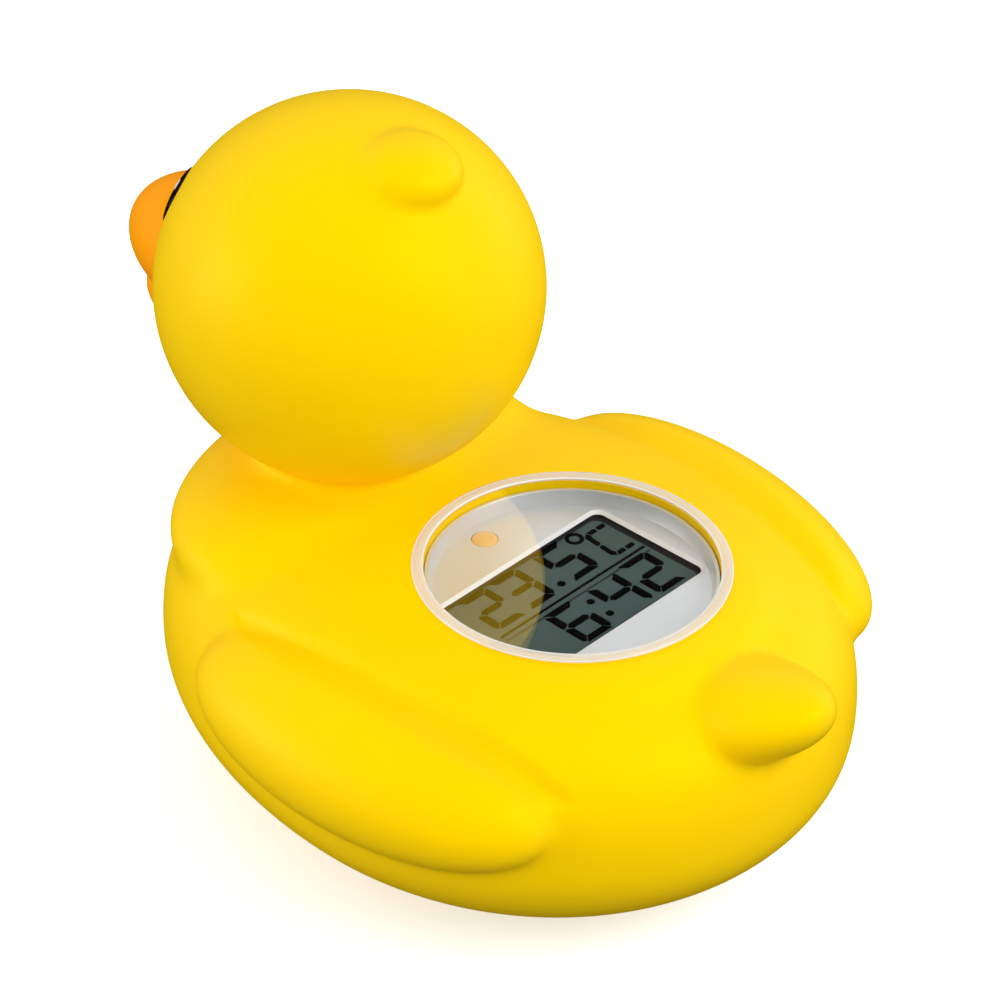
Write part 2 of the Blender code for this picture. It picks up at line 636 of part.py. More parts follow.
def make_plate():
    """The silver dish under the lens, with its rim, flange, window and lamp hole."""
    outer = WELL_RADIUS - GAP
    flange = CHAMBER_RADIUS - GAP
    inner = outer - PLATE_RIM_THICK
    flange_top = -WELL_DEPTH - GAP
    under = -PLATE_FLOOR_DEPTH - PLATE_THICK
    bend = PLATE_RIM_THICK
    profile = [(0, under), (flange, under), (flange, flange_top), (outer, flange_top),
               (outer, -PLATE_RIM_DEPTH), (inner, -PLATE_RIM_DEPTH), (inner, -PLATE_FLOOR_DEPTH + bend),
               (inner - 0.3 * bend, -PLATE_FLOOR_DEPTH + 0.3 * bend), (inner - bend, -PLATE_FLOOR_DEPTH),
               (0, -PLATE_FLOOR_DEPTH)]
    plate = place("display_plate", turned("display_plate", profile, 40), "plate", DISPLAY)
    low, high = PLATE_UNDER - GAP, PLATE_FLOOR + GAP
    window = prism("window_guide", window_outline(), low, high)
    cut(plate, place("window_guide", window, None, (DISPLAY.x, DISPLAY.y + WINDOW_BACK, 0)))
    count = len(window_outline())
    ramp = [(x, y, PLATE_FLOOR - WINDOW_CHAMFER) for x, y in window_outline()]
    ramp += [(x, y, PLATE_FLOOR + WINDOW_CHAMFER) for x, y in window_outline(2 * WINDOW_CHAMFER)]
    sides = [(i, (i + 1) % count, (i + 1) % count + count, i + count) for i in range(count)]
    sides += [tuple(reversed(range(count))), tuple(range(count, 2 * count))]
    cut(plate, place("chamfer_guide", mesh_of("chamfer_guide", ramp, sides), None,
                     (DISPLAY.x, DISPLAY.y + WINDOW_BACK, 0)))
    cut(plate, drill("lamp_hole", (0, DISPLAY.y - LAMP_AHEAD), LAMP_RADIUS + GAP, low, high))
    return plate


def make_gasket():
    """The black foam frame between plate and panel."""
    low = GASKET_TOP - GASKET_THICK
    grow = PANEL_MARGIN
    frame = place("panel_gasket", prism("panel_gasket", window_outline(grow), low, GASKET_TOP), "foam",
                  (DISPLAY.x, DISPLAY.y + WINDOW_BACK, 0))
    cut(frame, place("gasket_hole", prism("gasket_hole", window_outline(), low - GAP, GASKET_TOP + GAP), None,
                     (DISPLAY.x, DISPLAY.y + WINDOW_BACK, 0)))
    return frame


def make_panel():
    size = (WINDOW_WIDTH + 2 * PANEL_MARGIN, WINDOW_HEIGHT + 2 * PANEL_MARGIN, PANEL_THICK)
    return place("lcd_panel", block("lcd_panel", size, PANEL_TOP - PANEL_THICK), "panel",
                 (DISPLAY.x, DISPLAY.y + WINDOW_BACK, 0))


def make_contact_strip(side):
    name = "contact_strip_front" if side < 0 else "contact_strip_rear"
    across = WINDOW_HEIGHT / 2 + PANEL_MARGIN - STRIP_WIDTH / 2
    mesh = block(name, (WINDOW_WIDTH - 2 * PANEL_MARGIN, STRIP_WIDTH, STRIP_THICK), STRIP_TOP - STRIP_THICK)
    return place(name, mesh, "strip", (0, DISPLAY.y + WINDOW_BACK + side * across, 0))


def board_screw_places():
    return [(x * MM, DISPLAY.y + y * MM) for x, y in BOARD_SCREWS]


def make_board():
    board = place("main_board", turned("main_board", disc(BOARD_RADIUS, BOARD_UNDER, BOARD_TOP), 32), "board",
                  (DISPLAY.x, DISPLAY.y, 0))
    for index, spot in enumerate(board_screw_places()):
        cut(board, drill(f"board_hole_{index + 1}", spot, SCREW_SHANK + FIT, BOARD_UNDER - GAP, BOARD_TOP + GAP, 10))
    return board


def make_lamp():
    """The round lamp that stands on the board and shows through the plate."""
    low = BOARD_TOP + GAP
    shoulder = PLATE_FLOOR - LAMP_RADIUS * 0.5
    profile = [(0, low), (LAMP_RADIUS, low), (LAMP_RADIUS, shoulder)]
    for k in range(1, 5):
        a = math.pi / 2 * k / 5
        profile.append((LAMP_RADIUS * math.cos(a), shoulder + LAMP_RADIUS * 0.8 * math.sin(a)))
    profile.append((0, shoulder + LAMP_RADIUS * 0.8))
    return place("indicator_lamp", turned("indicator_lamp", profile, 20), "lamp",
                 (0, DISPLAY.y - LAMP_AHEAD, 0))


def make_blob():
    top = BOARD_UNDER - GAP
    profile = [(0, top), (BLOB_RADIUS, top), (BLOB_RADIUS * 0.95, top - BLOB_HEIGHT * 0.45),
               (BLOB_RADIUS * 0.6, top - BLOB_HEIGHT * 0.9), (0, top - BLOB_HEIGHT)]
    return place("chip_blob", turned("chip_blob", profile, 20), "blob", (0, DISPLAY.y, 0))


def make_crystal():
    can = turned("clock_crystal", disc(CRYSTAL_RADIUS, -CRYSTAL_LENGTH / 2, CRYSTAL_LENGTH / 2), 14)
    return place("clock_crystal", can, "steel",
                 (-2 * BLOB_RADIUS, DISPLAY.y, BOARD_UNDER - GAP - CRYSTAL_RADIUS), (90, 0, 0))


def make_tray():
    """The cup that holds board, panel and plate against the shoulder in the collar."""
    outer = CHAMBER_RADIUS - GAP
    inner = outer - TRAY_WALL
    rim = PLATE_UNDER - GAP
    profile = [(TRAY_WINDOW, TRAY_END), (TRAY_FLANGE, TRAY_END), (TRAY_FLANGE, TRAY_TOP), (outer, TRAY_TOP),
               (outer, rim), (inner, rim), (inner, TRAY_TOP), (TRAY_WINDOW, TRAY_TOP)]
    tray = place("display_tray", turned("display_tray", profile, 40), "white_plastic", (DISPLAY.x, DISPLAY.y, 0))
    for index, angle in enumerate(TRAY_SCREW_ANGLES):
        x, y = polar(TRAY_SCREW_CIRCLE, angle)
        cut(tray, drill(f"tray_hole_{index + 1}", (x, DISPLAY.y + y), SCREW_SHANK + FIT,
                        TRAY_END - GAP, TRAY_TOP + GAP, 10))
    for index, spot in enumerate(board_screw_places()):
        post = drill(f"tray_post_{index + 1}", spot, POST_RADIUS, TRAY_END + GAP, BOARD_UNDER - GAP, 14)
        join(tray, post)
        cut(tray, drill(f"tray_post_hole_{index + 1}", spot, SCREW_SHANK + FIT, TRAY_END + 2 * GAP,
                        BOARD_UNDER, 10))
    return tray


def make_display_screws():
    for index, angle in enumerate(TRAY_SCREW_ANGLES):
        x, y = polar(TRAY_SCREW_CIRCLE, angle)
        screw(f"tray_screw_{index + 1}", (x, DISPLAY.y + y, TRAY_END - GAP), TRAY_SCREW_LENGTH)
    for index, (x, y) in enumerate(board_screw_places()):
        screw(f"board_screw_{index + 1}", (x, y, BOARD_TOP + GAP), BOARD_SCREW_LENGTH, upward=False)


# The base

def door_ears():
    return [(polar(DOOR_EAR_REACH, a)[0], BAY_Y + polar(DOOR_EAR_REACH, a)[1]) for a in DOOR_EAR_ANGLES]


def ear_outline(spot, radius):
    """A tongue from the door's middle to a round ear."""
    reach = Vector((spot[0], spot[1] - BAY_Y))
    across = Vector((-reach.y, reach.x)).normalized() * radius
    turn = math.atan2(reach.y, reach.x)
    arc = [turn + math.pi * (k / 8 - 0.5) for k in range(9)]
    points = [(-across.x, -across.y)]
    points += [(reach.x + radius * math.cos(a), reach.y + radius * math.sin(a)) for a in arc]
    return points + [(across.x, across.y)]


def door_shape(name, radius, ear, low, high):
    door = place(name, turned(name, disc(radius, low, high), 36), None, (0, BAY_Y, 0))
    for index, spot in enumerate(door_ears()):
        part = f"{name}_ear_{index + 1}"
        join(door, place(part, prism(part, ear_outline(spot, ear), low, high), None, (0, BAY_Y, 0)))
    return door


def button_places():
    return [("mode", -BUTTON_ASIDE, BUTTON_Y), ("set", BUTTON_ASIDE, BUTTON_Y)]


def key_posts():
    return [(side * KEY_POST_ASIDE, KEY_POST_Y) for side in (-1, 1)]


def contact_slot(name, x, y, width, depth):
    slot = block(name, (width, depth, BAY_ROOF + 2 * GAP), BAY_TOP - GAP)
    return place(name, slot, None, (x, y, 0))


def make_base():
    base = place("base_plate", prism("base_plate", oval(BASE_HALF_WIDTH, BASE_HALF_LENGTH), 0, BASE_RIM), "skin",
                 (0, BASE_Y, 0))
    inner = oval(BASE_HALF_WIDTH - BASE_STEP, BASE_HALF_LENGTH - BASE_STEP)
    join(base, place("base_inner", prism("base_inner", inner, BASE_RIM / 2, BASE_THICK), None, (0, BASE_Y, 0)),
         drill("bay_guide", (0, BAY_Y), BAY_OUTER, BASE_THICK / 2, BAY_TOP + BAY_ROOF, 40))
    for index, spot in enumerate(door_ears()):
        join(base, drill(f"ear_boss_{index + 1}", spot, DOOR_EAR, BASE_THICK / 2,
                         DOOR_TOP + DOOR_SCREW_LENGTH + 2 * GAP, 16))
    for index, spot in enumerate(key_posts()):
        join(base, drill(f"key_post_{index + 1}", spot, KEY_POST_RADIUS, BASE_THICK / 2, KEY_BOARD_Z - GAP, 14))
    cut(base, door_shape("door_pocket", DOOR_RADIUS + GAP, DOOR_EAR + GAP, -GAP, DOOR_TOP + GAP),
        drill("seal_pocket", (0, BAY_Y), DOOR_RADIUS + GAP, 0, DOOR_SEAT, 40),
        drill("cell_bay", (0, BAY_Y), CELL_RADIUS + BAY_CLEAR, DOOR_RECESS, BAY_TOP, 40),
        drill("probe_hole", (0, PROBE_Y), PROBE_RADIUS + GAP, -GAP, BASE_THICK + GAP))
    for index, spot in enumerate(door_ears()):
        cut(base, drill(f"ear_hole_{index + 1}", spot, SCREW_SHANK + FIT, DOOR_TOP, DOOR_TOP + DOOR_SCREW_LENGTH, 10))
    for index, spot in enumerate(key_posts()):
        cut(base, drill(f"key_post_hole_{index + 1}", spot, SCREW_SHANK + FIT, BASE_THICK / 2 + GAP, KEY_BOARD_Z, 10))
    for name, x, y in button_places():
        cut(base, drill(f"{name}_hole", (x, y), BUTTON_RADIUS + GAP, -GAP, BASE_THICK + GAP))
    side = CELL_RADIUS + GAP
    cut(base, contact_slot("minus_slot", 0, BAY_Y, CONTACT_WIDTH / 2 + 2 * GAP, CONTACT_THICK + 2 * GAP),
        place("plus_pocket", block("plus_pocket", (2 * (side + 2 * GAP + CONTACT_THICK), CONTACT_WIDTH + 2 * GAP,
              BAY_TOP - CELL_BOTTOM), CELL_BOTTOM), None, (0, BAY_Y, 0)),
        contact_slot("plus_slot", side + CONTACT_THICK / 2, BAY_Y, CONTACT_THICK + 2 * GAP, CONTACT_WIDTH / 2 + 2 * GAP))
    return base


def make_base_seal():
    low = BASE_RIM + GAP
    outer = oval(BASE_HALF_WIDTH - GAP, BASE_HALF_LENGTH - GAP)
    inner = oval(BASE_HALF_WIDTH - BASE_STEP + GAP, BASE_HALF_LENGTH - BASE_STEP + GAP)
    seal = place("base_seal", prism("base_seal", outer, low, low + BASE_SEAL_THICK), "seal", (0, BASE_Y, 0))
    cut(seal, place("base_seal_hole", prism("base_seal_hole", inner, low - GAP, low + 2 * BASE_SEAL_THICK), None,
                    (0, BASE_Y, 0)))
    return seal


def make_door():
    door = door_shape("battery_door", DOOR_RADIUS, DOOR_EAR, DOOR_RECESS, DOOR_TOP)
    door.hide_render = False
    door.display_type = "TEXTURED"
    door.data.materials.append(MATERIALS["skin"])
    for index, spot in enumerate(door_ears()):
        sink = DOOR_RECESS + SCREW_HEAD_HEIGHT
        cut(door, drill(f"door_hole_{index + 1}", spot, SCREW_SHANK + FIT, 0, DOOR_TOP + GAP, 12),
            drill(f"door_sink_{index + 1}", spot, SCREW_HEAD + FIT, 0, sink, 16))
        screw(f"door_screw_{index + 1}", (spot[0], spot[1], sink - GAP + FIT), DOOR_SCREW_LENGTH)
    low = DOOR_TOP + GAP
    outer = DOOR_RADIUS
    place("door_seal", turned("door_seal", ring(outer - DOOR_SEAL_WIDTH, outer, low, low + DOOR_SEAL_THICK), 32),
          "silicone", (0, BAY_Y, 0))
    return door


def make_cell():
    edge = 0.3 * MM
    step = 0.5 * MM
    profile = [(0, 0), (CELL_RADIUS - edge, 0), (CELL_RADIUS, edge), (CELL_RADIUS, CELL_THICK - step),
               (CELL_RADIUS - 2 * edge, CELL_THICK), (0, CELL_THICK)]
    return place("coin_cell", turned("coin_cell", profile, 32), "steel", (0, BAY_Y, CELL_BOTTOM))


def make_contacts():
    """The strip over the cell and the strip at its side, each with a tab through the bay's roof."""
    tab_top = BAY_TOP + BAY_ROOF + CONTACT_TAB
    minus = place("cell_contact_minus", block("cell_contact_minus", (CONTACT_WIDTH, 2 * CELL_RADIUS / 1.5,
                  CONTACT_THICK), CONTACT_Z), "steel", (0, BAY_Y, 0))
    tab = block("minus_tab", (CONTACT_WIDTH / 2, CONTACT_THICK, tab_top - CONTACT_Z - CONTACT_THICK / 2),
                CONTACT_Z + CONTACT_THICK / 2)
    join(minus, place("minus_tab", tab, None, (0, BAY_Y, 0)))
    x = CELL_RADIUS + GAP + CONTACT_THICK / 2
    low = CELL_BOTTOM + GAP
    plus = place("cell_contact_plus", block("cell_contact_plus", (CONTACT_THICK, CONTACT_WIDTH,
                 BAY_TOP - GAP - low), low), "steel", (x, BAY_Y, 0))
    tab = block("plus_tab", (CONTACT_THICK, CONTACT_WIDTH / 2, tab_top - low - GAP), low + GAP)
    join(plus, place("plus_tab", tab, None, (x, BAY_Y, 0)))


def make_probe():
    """The metal cap that the water touches, with the sensor inside it."""
    low = BUTTON_RECESS / 2
    top = low + PROBE_HEIGHT
    flange = BASE_THICK + GAP
    inner = PROBE_RADIUS - PROBE_WALL
    profile = [(0, low), (PROBE_RADIUS * 0.85, low), (PROBE_RADIUS, low + PROBE_WALL), (PROBE_RADIUS, flange),
               (PROBE_RADIUS + PROBE_FLANGE, flange), (PROBE_RADIUS + PROBE_FLANGE, flange + PROBE_WALL),
               (PROBE_RADIUS, flange + PROBE_WALL), (PROBE_RADIUS, top), (inner, top), (inner, low + PROBE_WALL),
               (0, low + PROBE_WALL)]
    place("probe_cap", turned("probe_cap", profile, 24), "steel", (0, PROBE_Y, 0))
    start = low + PROBE_WALL + GAP
    bead = [(0, start), (SENSOR_RADIUS * 0.7, start + 0.2 * SENSOR_RADIUS), (SENSOR_RADIUS, start + SENSOR_RADIUS),
            (SENSOR_RADIUS, start + SENSOR_LENGTH), (0, start + SENSOR_LENGTH)]
    place("temperature_sensor", turned("temperature_sensor", bead, 14), "blob", (0, PROBE_Y, 0))


def make_button(name, x, y):
    flange = BUTTON_RADIUS + BUTTON_FLANGE
    dome = 0.25 * MM
    profile = [(0, BUTTON_RECESS - dome), (BUTTON_RADIUS * 0.7, BUTTON_RECESS - 0.6 * dome),
               (BUTTON_RADIUS, BUTTON_RECESS), (BUTTON_RADIUS, BUTTON_FLANGE_Z), (flange, BUTTON_FLANGE_Z),
               (flange, BUTTON_FLANGE_Z + BUTTON_FLANGE), (PLUNGER_RADIUS, BUTTON_FLANGE_Z + BUTTON_FLANGE),
               (PLUNGER_RADIUS, BUTTON_TOP), (0, BUTTON_TOP)]
    place(f"{name}_button", turned(f"{name}_button", profile, 24), "silicone", (x, y, 0))
    body = place(f"{name}_switch", block(f"{name}_switch", (SWITCH_SIZE, SWITCH_SIZE, SWITCH_HEIGHT),
                 SWITCH_BOTTOM + PLUNGER_HEIGHT), "blob", (x, y, 0))
    join(body, drill(f"{name}_plunger", (x, y), PLUNGER_RADIUS, SWITCH_BOTTOM, SWITCH_BOTTOM + 2 * PLUNGER_HEIGHT, 14))


def make_key_board():
    y = BUTTON_Y
    board = place("key_board", block("key_board", KEY_BOARD_SIZE, KEY_BOARD_Z), "board", (0, y, 0))
    for index, spot in enumerate(key_posts()):
        cut(board, drill(f"key_board_hole_{index + 1}", spot, SCREW_SHANK + FIT, KEY_BOARD_Z - GAP,
                         KEY_BOARD_Z + 2 * KEY_BOARD_SIZE[2], 10))
        screw(f"key_screw_{index + 1}", (*spot, KEY_BOARD_Z + KEY_BOARD_SIZE[2] + GAP), KEY_SCREW_LENGTH,
              upward=False)
    return board


def make_lead(name, finish, start, end):
    """A lead that rises from its start, then leans over and climbs through the tray's opening."""
    start, end = Vector(start), Vector(end)
    under_tray = TRAY_END - LEAD_DROP
    middle = (start + Vector((end.x, end.y, under_tray))) / 2
    top = BOARD_UNDER - GAP
    tube(name, [start, start + Vector((0, 0, LEAD_RISE / 2)), middle, (end.x, end.y, under_tray),
                (end.x, end.y, top - LEAD_DROP), (end.x, end.y, top)], LEAD_RADIUS, finish)


def make_leads():
    """Leads from the cell's contacts and from the sensor to the display's board."""
    tab_end = BAY_TOP + BAY_ROOF + CONTACT_TAB + GAP
    near_chip = DISPLAY.y - BLOB_RADIUS
    make_lead("lead_plus", "red_lead", (CELL_RADIUS + GAP + CONTACT_THICK / 2, BAY_Y, tab_end),
              (1.5 * BLOB_RADIUS, near_chip, 0))
    make_lead("lead_minus", "black_lead", (0, BAY_Y, tab_end), (LEAD_RADIUS, near_chip - 4 * LEAD_RADIUS, 0))
    front = BUTTON_Y - KEY_BOARD_SIZE[1] / 2 - 2 * LEAD_RADIUS
    low = BUTTON_RECESS / 2 + PROBE_WALL + 2 * GAP + SENSOR_LENGTH
    for name, step in (("sensor_lead_a", -1.2), ("sensor_lead_b", 1.2)):
        x = step * LEAD_RADIUS
        aside = x - BLOB_RADIUS
        over_board = KEY_BOARD_Z + LEAD_RISE
        under_tray = TRAY_END - LEAD_DROP
        top = BOARD_UNDER - GAP
        tube(name, [(x, PROBE_Y, low), (x, PROBE_Y - LEAD_DROP / 2, low + LEAD_DROP),
                    (x, front, KEY_BOARD_Z), (x, front, over_board),
                    (aside, (front + near_chip) / 2, (over_board + under_tray) / 2),
                    (aside, near_chip, under_tray + MM), (aside, near_chip, top)], LEAD_RADIUS, "white_lead")


def make_all():
    make_skin()
    make_beak()
    for side in (-1, 1):
        make_eye(side)
    make_lens()
    make_lens_seal()
    make_plate()
    make_gasket()
    make_panel()
    for side in (-1, 1):
        make_contact_strip(side)
    make_board()
    make_lamp()
    make_blob()
    make_crystal()
    make_tray()
    make_display_screws()
    make_base()
    make_base_seal()
    make_door()
    make_cell()
    make_contacts()
    make_probe()
    for name, x, y in button_places():
        make_button(name, x, y)
    make_key_board()
    make_leads()


for old in list(bpy.data.objects):
    bpy.data.objects.remove(old, do_unlink=True)
MATERIALS = {name: material(name, *values) for name, values in FINISHES.items()}
make_all()
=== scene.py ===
"""Looks for the duck bath thermometer: moulded skin, clear lens, silver dish and liquid crystal display."""

import json
import math

import bmesh
import bpy
from mathutils import Euler, Matrix, Vector


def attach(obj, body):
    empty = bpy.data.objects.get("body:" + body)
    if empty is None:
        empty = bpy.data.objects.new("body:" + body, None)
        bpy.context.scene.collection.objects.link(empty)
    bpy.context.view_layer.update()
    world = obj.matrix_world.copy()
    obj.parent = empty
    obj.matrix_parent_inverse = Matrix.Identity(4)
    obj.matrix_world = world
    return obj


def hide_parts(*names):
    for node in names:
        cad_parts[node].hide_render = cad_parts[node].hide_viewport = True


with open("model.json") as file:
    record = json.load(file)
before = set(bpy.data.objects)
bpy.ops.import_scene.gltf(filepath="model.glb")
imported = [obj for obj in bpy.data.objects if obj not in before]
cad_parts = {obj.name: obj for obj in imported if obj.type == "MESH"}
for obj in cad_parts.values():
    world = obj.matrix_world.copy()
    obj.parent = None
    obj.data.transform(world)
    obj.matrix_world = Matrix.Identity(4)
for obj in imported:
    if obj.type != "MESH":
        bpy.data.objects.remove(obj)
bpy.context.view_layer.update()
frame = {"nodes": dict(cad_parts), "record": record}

MM = 0.001
GAP = 0.3 * MM
FINE = 0.12 * MM             # clear space between the fine pieces
HAIR = 0.02 * MM             # least space between two pieces of the display
CUT_PAST = 1.0 * MM          # how far a cutter passes the face that it opens
REACH = 60.0 * MM            # past every side of the duck
BODY = "duck"
SMOOTH_UNDER = 40.0          # degrees between two faces that still shade as one surface

# The moulded duck, as in the solid model
BODY_HALF_WIDTH = 39.0 * MM
BODY_FRONT = 51.5 * MM
BODY_REAR = 42.5 * MM
BODY_RISE = 20.7 * MM
BODY_DROP = 20.1 * MM
BODY_LEVEL = 17.6 * MM
BACK_SQUARENESS = 3.0
KEEL_SQUARENESS = 2.0
BEAK_EXCESS = 5.4 * MM
BREAST_RADII = (27.8 * MM, 19.9 * MM, 8.5 * MM)
BREAST_AHEAD = 29.2 * MM
BREAST_SINK = 6.3 * MM
HEAD_RADIUS = 24.4 * MM
HEAD_AHEAD = 30.7 * MM
NECK_OVERLAP = 3.3 * MM
SKIN_GRAIN = 0.6 * MM
JOIN_SPREAD = 16.9 * MM * MM  # how far the body's creases are rounded, as passes times grain squared
LIMB_SPREAD = 4.9 * MM * MM   # the same for wings, tail and tuft

WING_RADII = (12.1 * MM, 26.3 * MM, 9.4 * MM)
WING_INSET = 7.8 * MM
WING_BEHIND = 3.1 * MM
WING_RAISE = 7.9 * MM
WING_TURN = (-3.3, 12.7, 3.8)
WING_EDGE_IN = -5.0 * MM      # upper edge, inwards of the wing's middle, in the wing's own frame
WING_EDGE_MIDDLE = 0.9 * MM
WING_EDGE_REACH = 26.0 * MM
WING_FLOOR = -2.0 * MM        # nothing lower than this is carved, in the wing's own frame
WING_BAND = 1.5 * MM          # width of the drop at the edge
WING_HOLLOW = 6.5 * MM        # width of the slope back up to the wing's crest
WING_HOLLOW_DEPTH = 1.4 * MM
EDGE_SPREAD = 0.6 * MM * MM
TAIL_RADII = (9.1 * MM, 16.5 * MM, 6.2 * MM)
TAIL_OVERHANG = 4.7 * MM
TAIL_RAISE = 11.7 * MM
TAIL_LIFT = 22.7
TUFT_RADII = (6.5 * MM, 6.5 * MM, 3.5 * MM)
TUFT_BEHIND = 25.5
TUFT_SINK = 0.7 * MM
TUFT_TILT = 18.0

BILL_RADII = (9.5 * MM, 15.4 * MM, 9.1 * MM)
BILL_BELOW = 10.5
BILL_INSET = 2.9 * MM
LOWER_BILL_RADII = (7.2 * MM, 13.0 * MM, 5.4 * MM)
LOWER_BILL_BELOW = 29.5
LOWER_BILL_INSET = -0.3 * MM
BEAK_GRAIN = 0.35 * MM
BEAK_SPREAD = 1.1 * MM * MM
BEAK_BITE = 0.4 * MM          # how far the beak reaches into the head
EYE_RADIUS = 3.7 * MM
EYE_ASIDE = 27.5
EYE_ABOVE = 23.5
EYE_CROWN = 0.35 * MM
EYE_DEPTH = 1.2 * MM
SOCKET_CUT = 5.0 * MM         # length of the cutter that opens an eye's socket
GLINT_ENDS = ((31.5, 27.0), (29.5, 29.3))   # degrees aside and above of the white fleck's two ends
GLINT_RADII = (0.75 * MM, 0.33 * MM, 0.1 * MM)
GLINT_LIFT = 0.27 * MM

DISPLAY_BEHIND = 6.9 * MM
DISPLAY_SINK = 0.3 * MM
DECK_RADIUS = 25.0 * MM
DECK_RISE = 6.0 * MM
DECK_SQUARENESS = 5.0
HEAD_CLEAR = 1.6 * MM
LENS_RADIUS = 19.7 * MM
LENS_RIM = 1.45 * MM
RIM_FOOT = 0.12 * MM          # how far the rim goes down under the lens plane
RIM_RISE = 0.45 * MM
RIM_FULLNESS = 0.8            # under 1, the rim's top is fuller than an arc
LENS_CROWN = 0.85 * MM
LENS_EDGE = 0.1 * MM          # the lens's height where it meets the rim
LEDGE_DEPTH = 0.24 * MM       # the ledge in the skin that carries the rim
WELL_RADIUS = 18.2 * MM
WELL_DEPTH = 2.6 * MM
BORE_EASE = 1.1 * MM          # the opening is wider by this under the well
BORE_DEPTH = 6.0 * MM

BODY_Y = (BODY_FRONT - BODY_REAR) / 2 + BEAK_EXCESS
BODY_TOP = BODY_LEVEL + BODY_RISE
BREAST = Vector((0, BODY_Y - BREAST_AHEAD, BODY_TOP - BREAST_SINK))
HEAD = Vector((0, BODY_Y - HEAD_AHEAD, BREAST.z + BREAST_RADII[2] + HEAD_RADIUS - NECK_OVERLAP))
LENS_PLANE = BODY_TOP - DISPLAY_SINK
DISPLAY = Vector((0, BODY_Y + DISPLAY_BEHIND, LENS_PLANE))
BASE_AHEAD = 2.0 * MM
BASE_MIDDLE = (0, BODY_Y - BASE_AHEAD, 0)
BASE_HALF_WIDTH = 16.0 * MM
BASE_HALF_LENGTH = 19.7 * MM
BASE_POCKET = 4.2 * MM        # height of the opening that the base plate fills

# Painted highlights on the lens's rim, two whitish rings that stand for the gleam on its rounded edges: name,
# radius, thickness and height over the lens plane
RIM_HIGHLIGHTS = (("lens_rim_inner_highlight", LENS_RADIUS - LENS_RIM + 0.12 * MM, 0.13 * MM, 0.12 * MM),
             ("lens_rim_outer_highlight", LENS_RADIUS - 0.1 * MM, 0.1 * MM, 0.06 * MM))

# Display, with depths under the lens plane
PLATE_RIM_DEPTH = 1.2 * MM
PLATE_FLOOR_DEPTH = 3.3 * MM
PLATE_RADIUS = 18.05 * MM
PLATE_THICK = 0.5 * MM
PLATE_LAND = 0.35 * MM        # flat width on the plate's rim
PLATE_ROUND = 0.1 * MM
DISH_RADIUS = 17.3 * MM
DISH_ROUND = 0.5 * MM
WINDOW = (-14.4 * MM, 14.5 * MM, -8.7 * MM, 9.15 * MM)   # least x, greatest x, least y, greatest y
WINDOW_CORNER = 1.2 * MM
BEVEL_WIDTH = 0.43 * MM       # bevel round the window, painted pale as a highlight where it catches the light
BEVEL_LAND = 0.08 * MM
BEVEL_DROP = 0.42 * MM
BEVEL_LIP = 0.03 * MM         # the bevel's edge over the dish
MASK_WIDTHS = (0.62 * MM, 0.2 * MM, 0.3 * MM, 0.2 * MM)   # dark edge on the panel, in the window's order
MASK_THICK = 0.05 * MM
FRAME_SINK = 0.1 * MM         # how far the dark frame goes down beside the panel
PANEL_DEPTH = 4.2 * MM
PANEL_THICK = 1.2 * MM
PANEL_OVERLAP = 0.3 * MM      # how far the panel reaches under the plate
LAMP_AHEAD = 14.5 * MM
LAMP_RADIUS = 1.65 * MM
LAMP_EASE = 0.05 * MM         # space between the lamp and its hole
LAMP_BODY = 2.0 * MM
LAMP_SHOULDER = 0.1 * MM      # the dome starts this far under the dish
LAMP_DOME = 0.5 * MM

# Floor, sky and camera
FLOOR_REACH = 4.0
FLOOR_THICK = 0.02
FLOOR_SINK = 0.2 * MM
SKY = ((0.0, 0.16), (0.36, 0.32), (0.5, 1.1), (1.0, 0.62))   # share of the way up, and brightness there
SKY_STRENGTH = 1.07
AZIMUTH = 132.0
ELEVATION = 35.15
ROLL = 1.0
FOCAL = 180.0
SENSOR = 36.0
PICTURE = 1000.0              # pixels along a side of the picture
DISPLAY_PIXEL = (572.42, 565.0)   # where the display's middle shows, from the left and from the top
PIXELS_PER_MM = 8.2           # at the display's middle


# Materials

def tree(name):
    mat = bpy.data.materials.new(name)
    mat.use_nodes = True
    nodes, links = mat.node_tree.nodes, mat.node_tree.links
    return mat, nodes, links, nodes["Principled BSDF"]


def noise(nodes, links, scale, detail=3.0):
    """A noise that sits on the object's own coordinates, scaled in waves for each metre."""
    coord = nodes.new("ShaderNodeTexCoord")
    tex = nodes.new("ShaderNodeTexNoise")
    tex.inputs["Scale"].default_value = scale
    tex.inputs["Detail"].default_value = detail
    links.new(coord.outputs["Object"], tex.inputs["Vector"])
    return tex


def ramp(nodes, links, source, low, high):
    """A colour that drifts from low to high over the middle of the source's range."""
    node = nodes.new("ShaderNodeValToRGB")
    for element, position, colour in zip(node.color_ramp.elements, (0.35, 0.65), (low, high)):
        element.position = position
        element.color = (*colour, 1.0)
    links.new(source, node.inputs["Fac"])
    return node


def bump(nodes, links, shader, height, distance):
    node = nodes.new("ShaderNodeBump")
    node.inputs["Strength"].default_value = 0.35
    node.inputs["Distance"].default_value = distance
    links.new(height, node.inputs["Height"])
    links.new(node.outputs["Normal"], shader.inputs["Normal"])


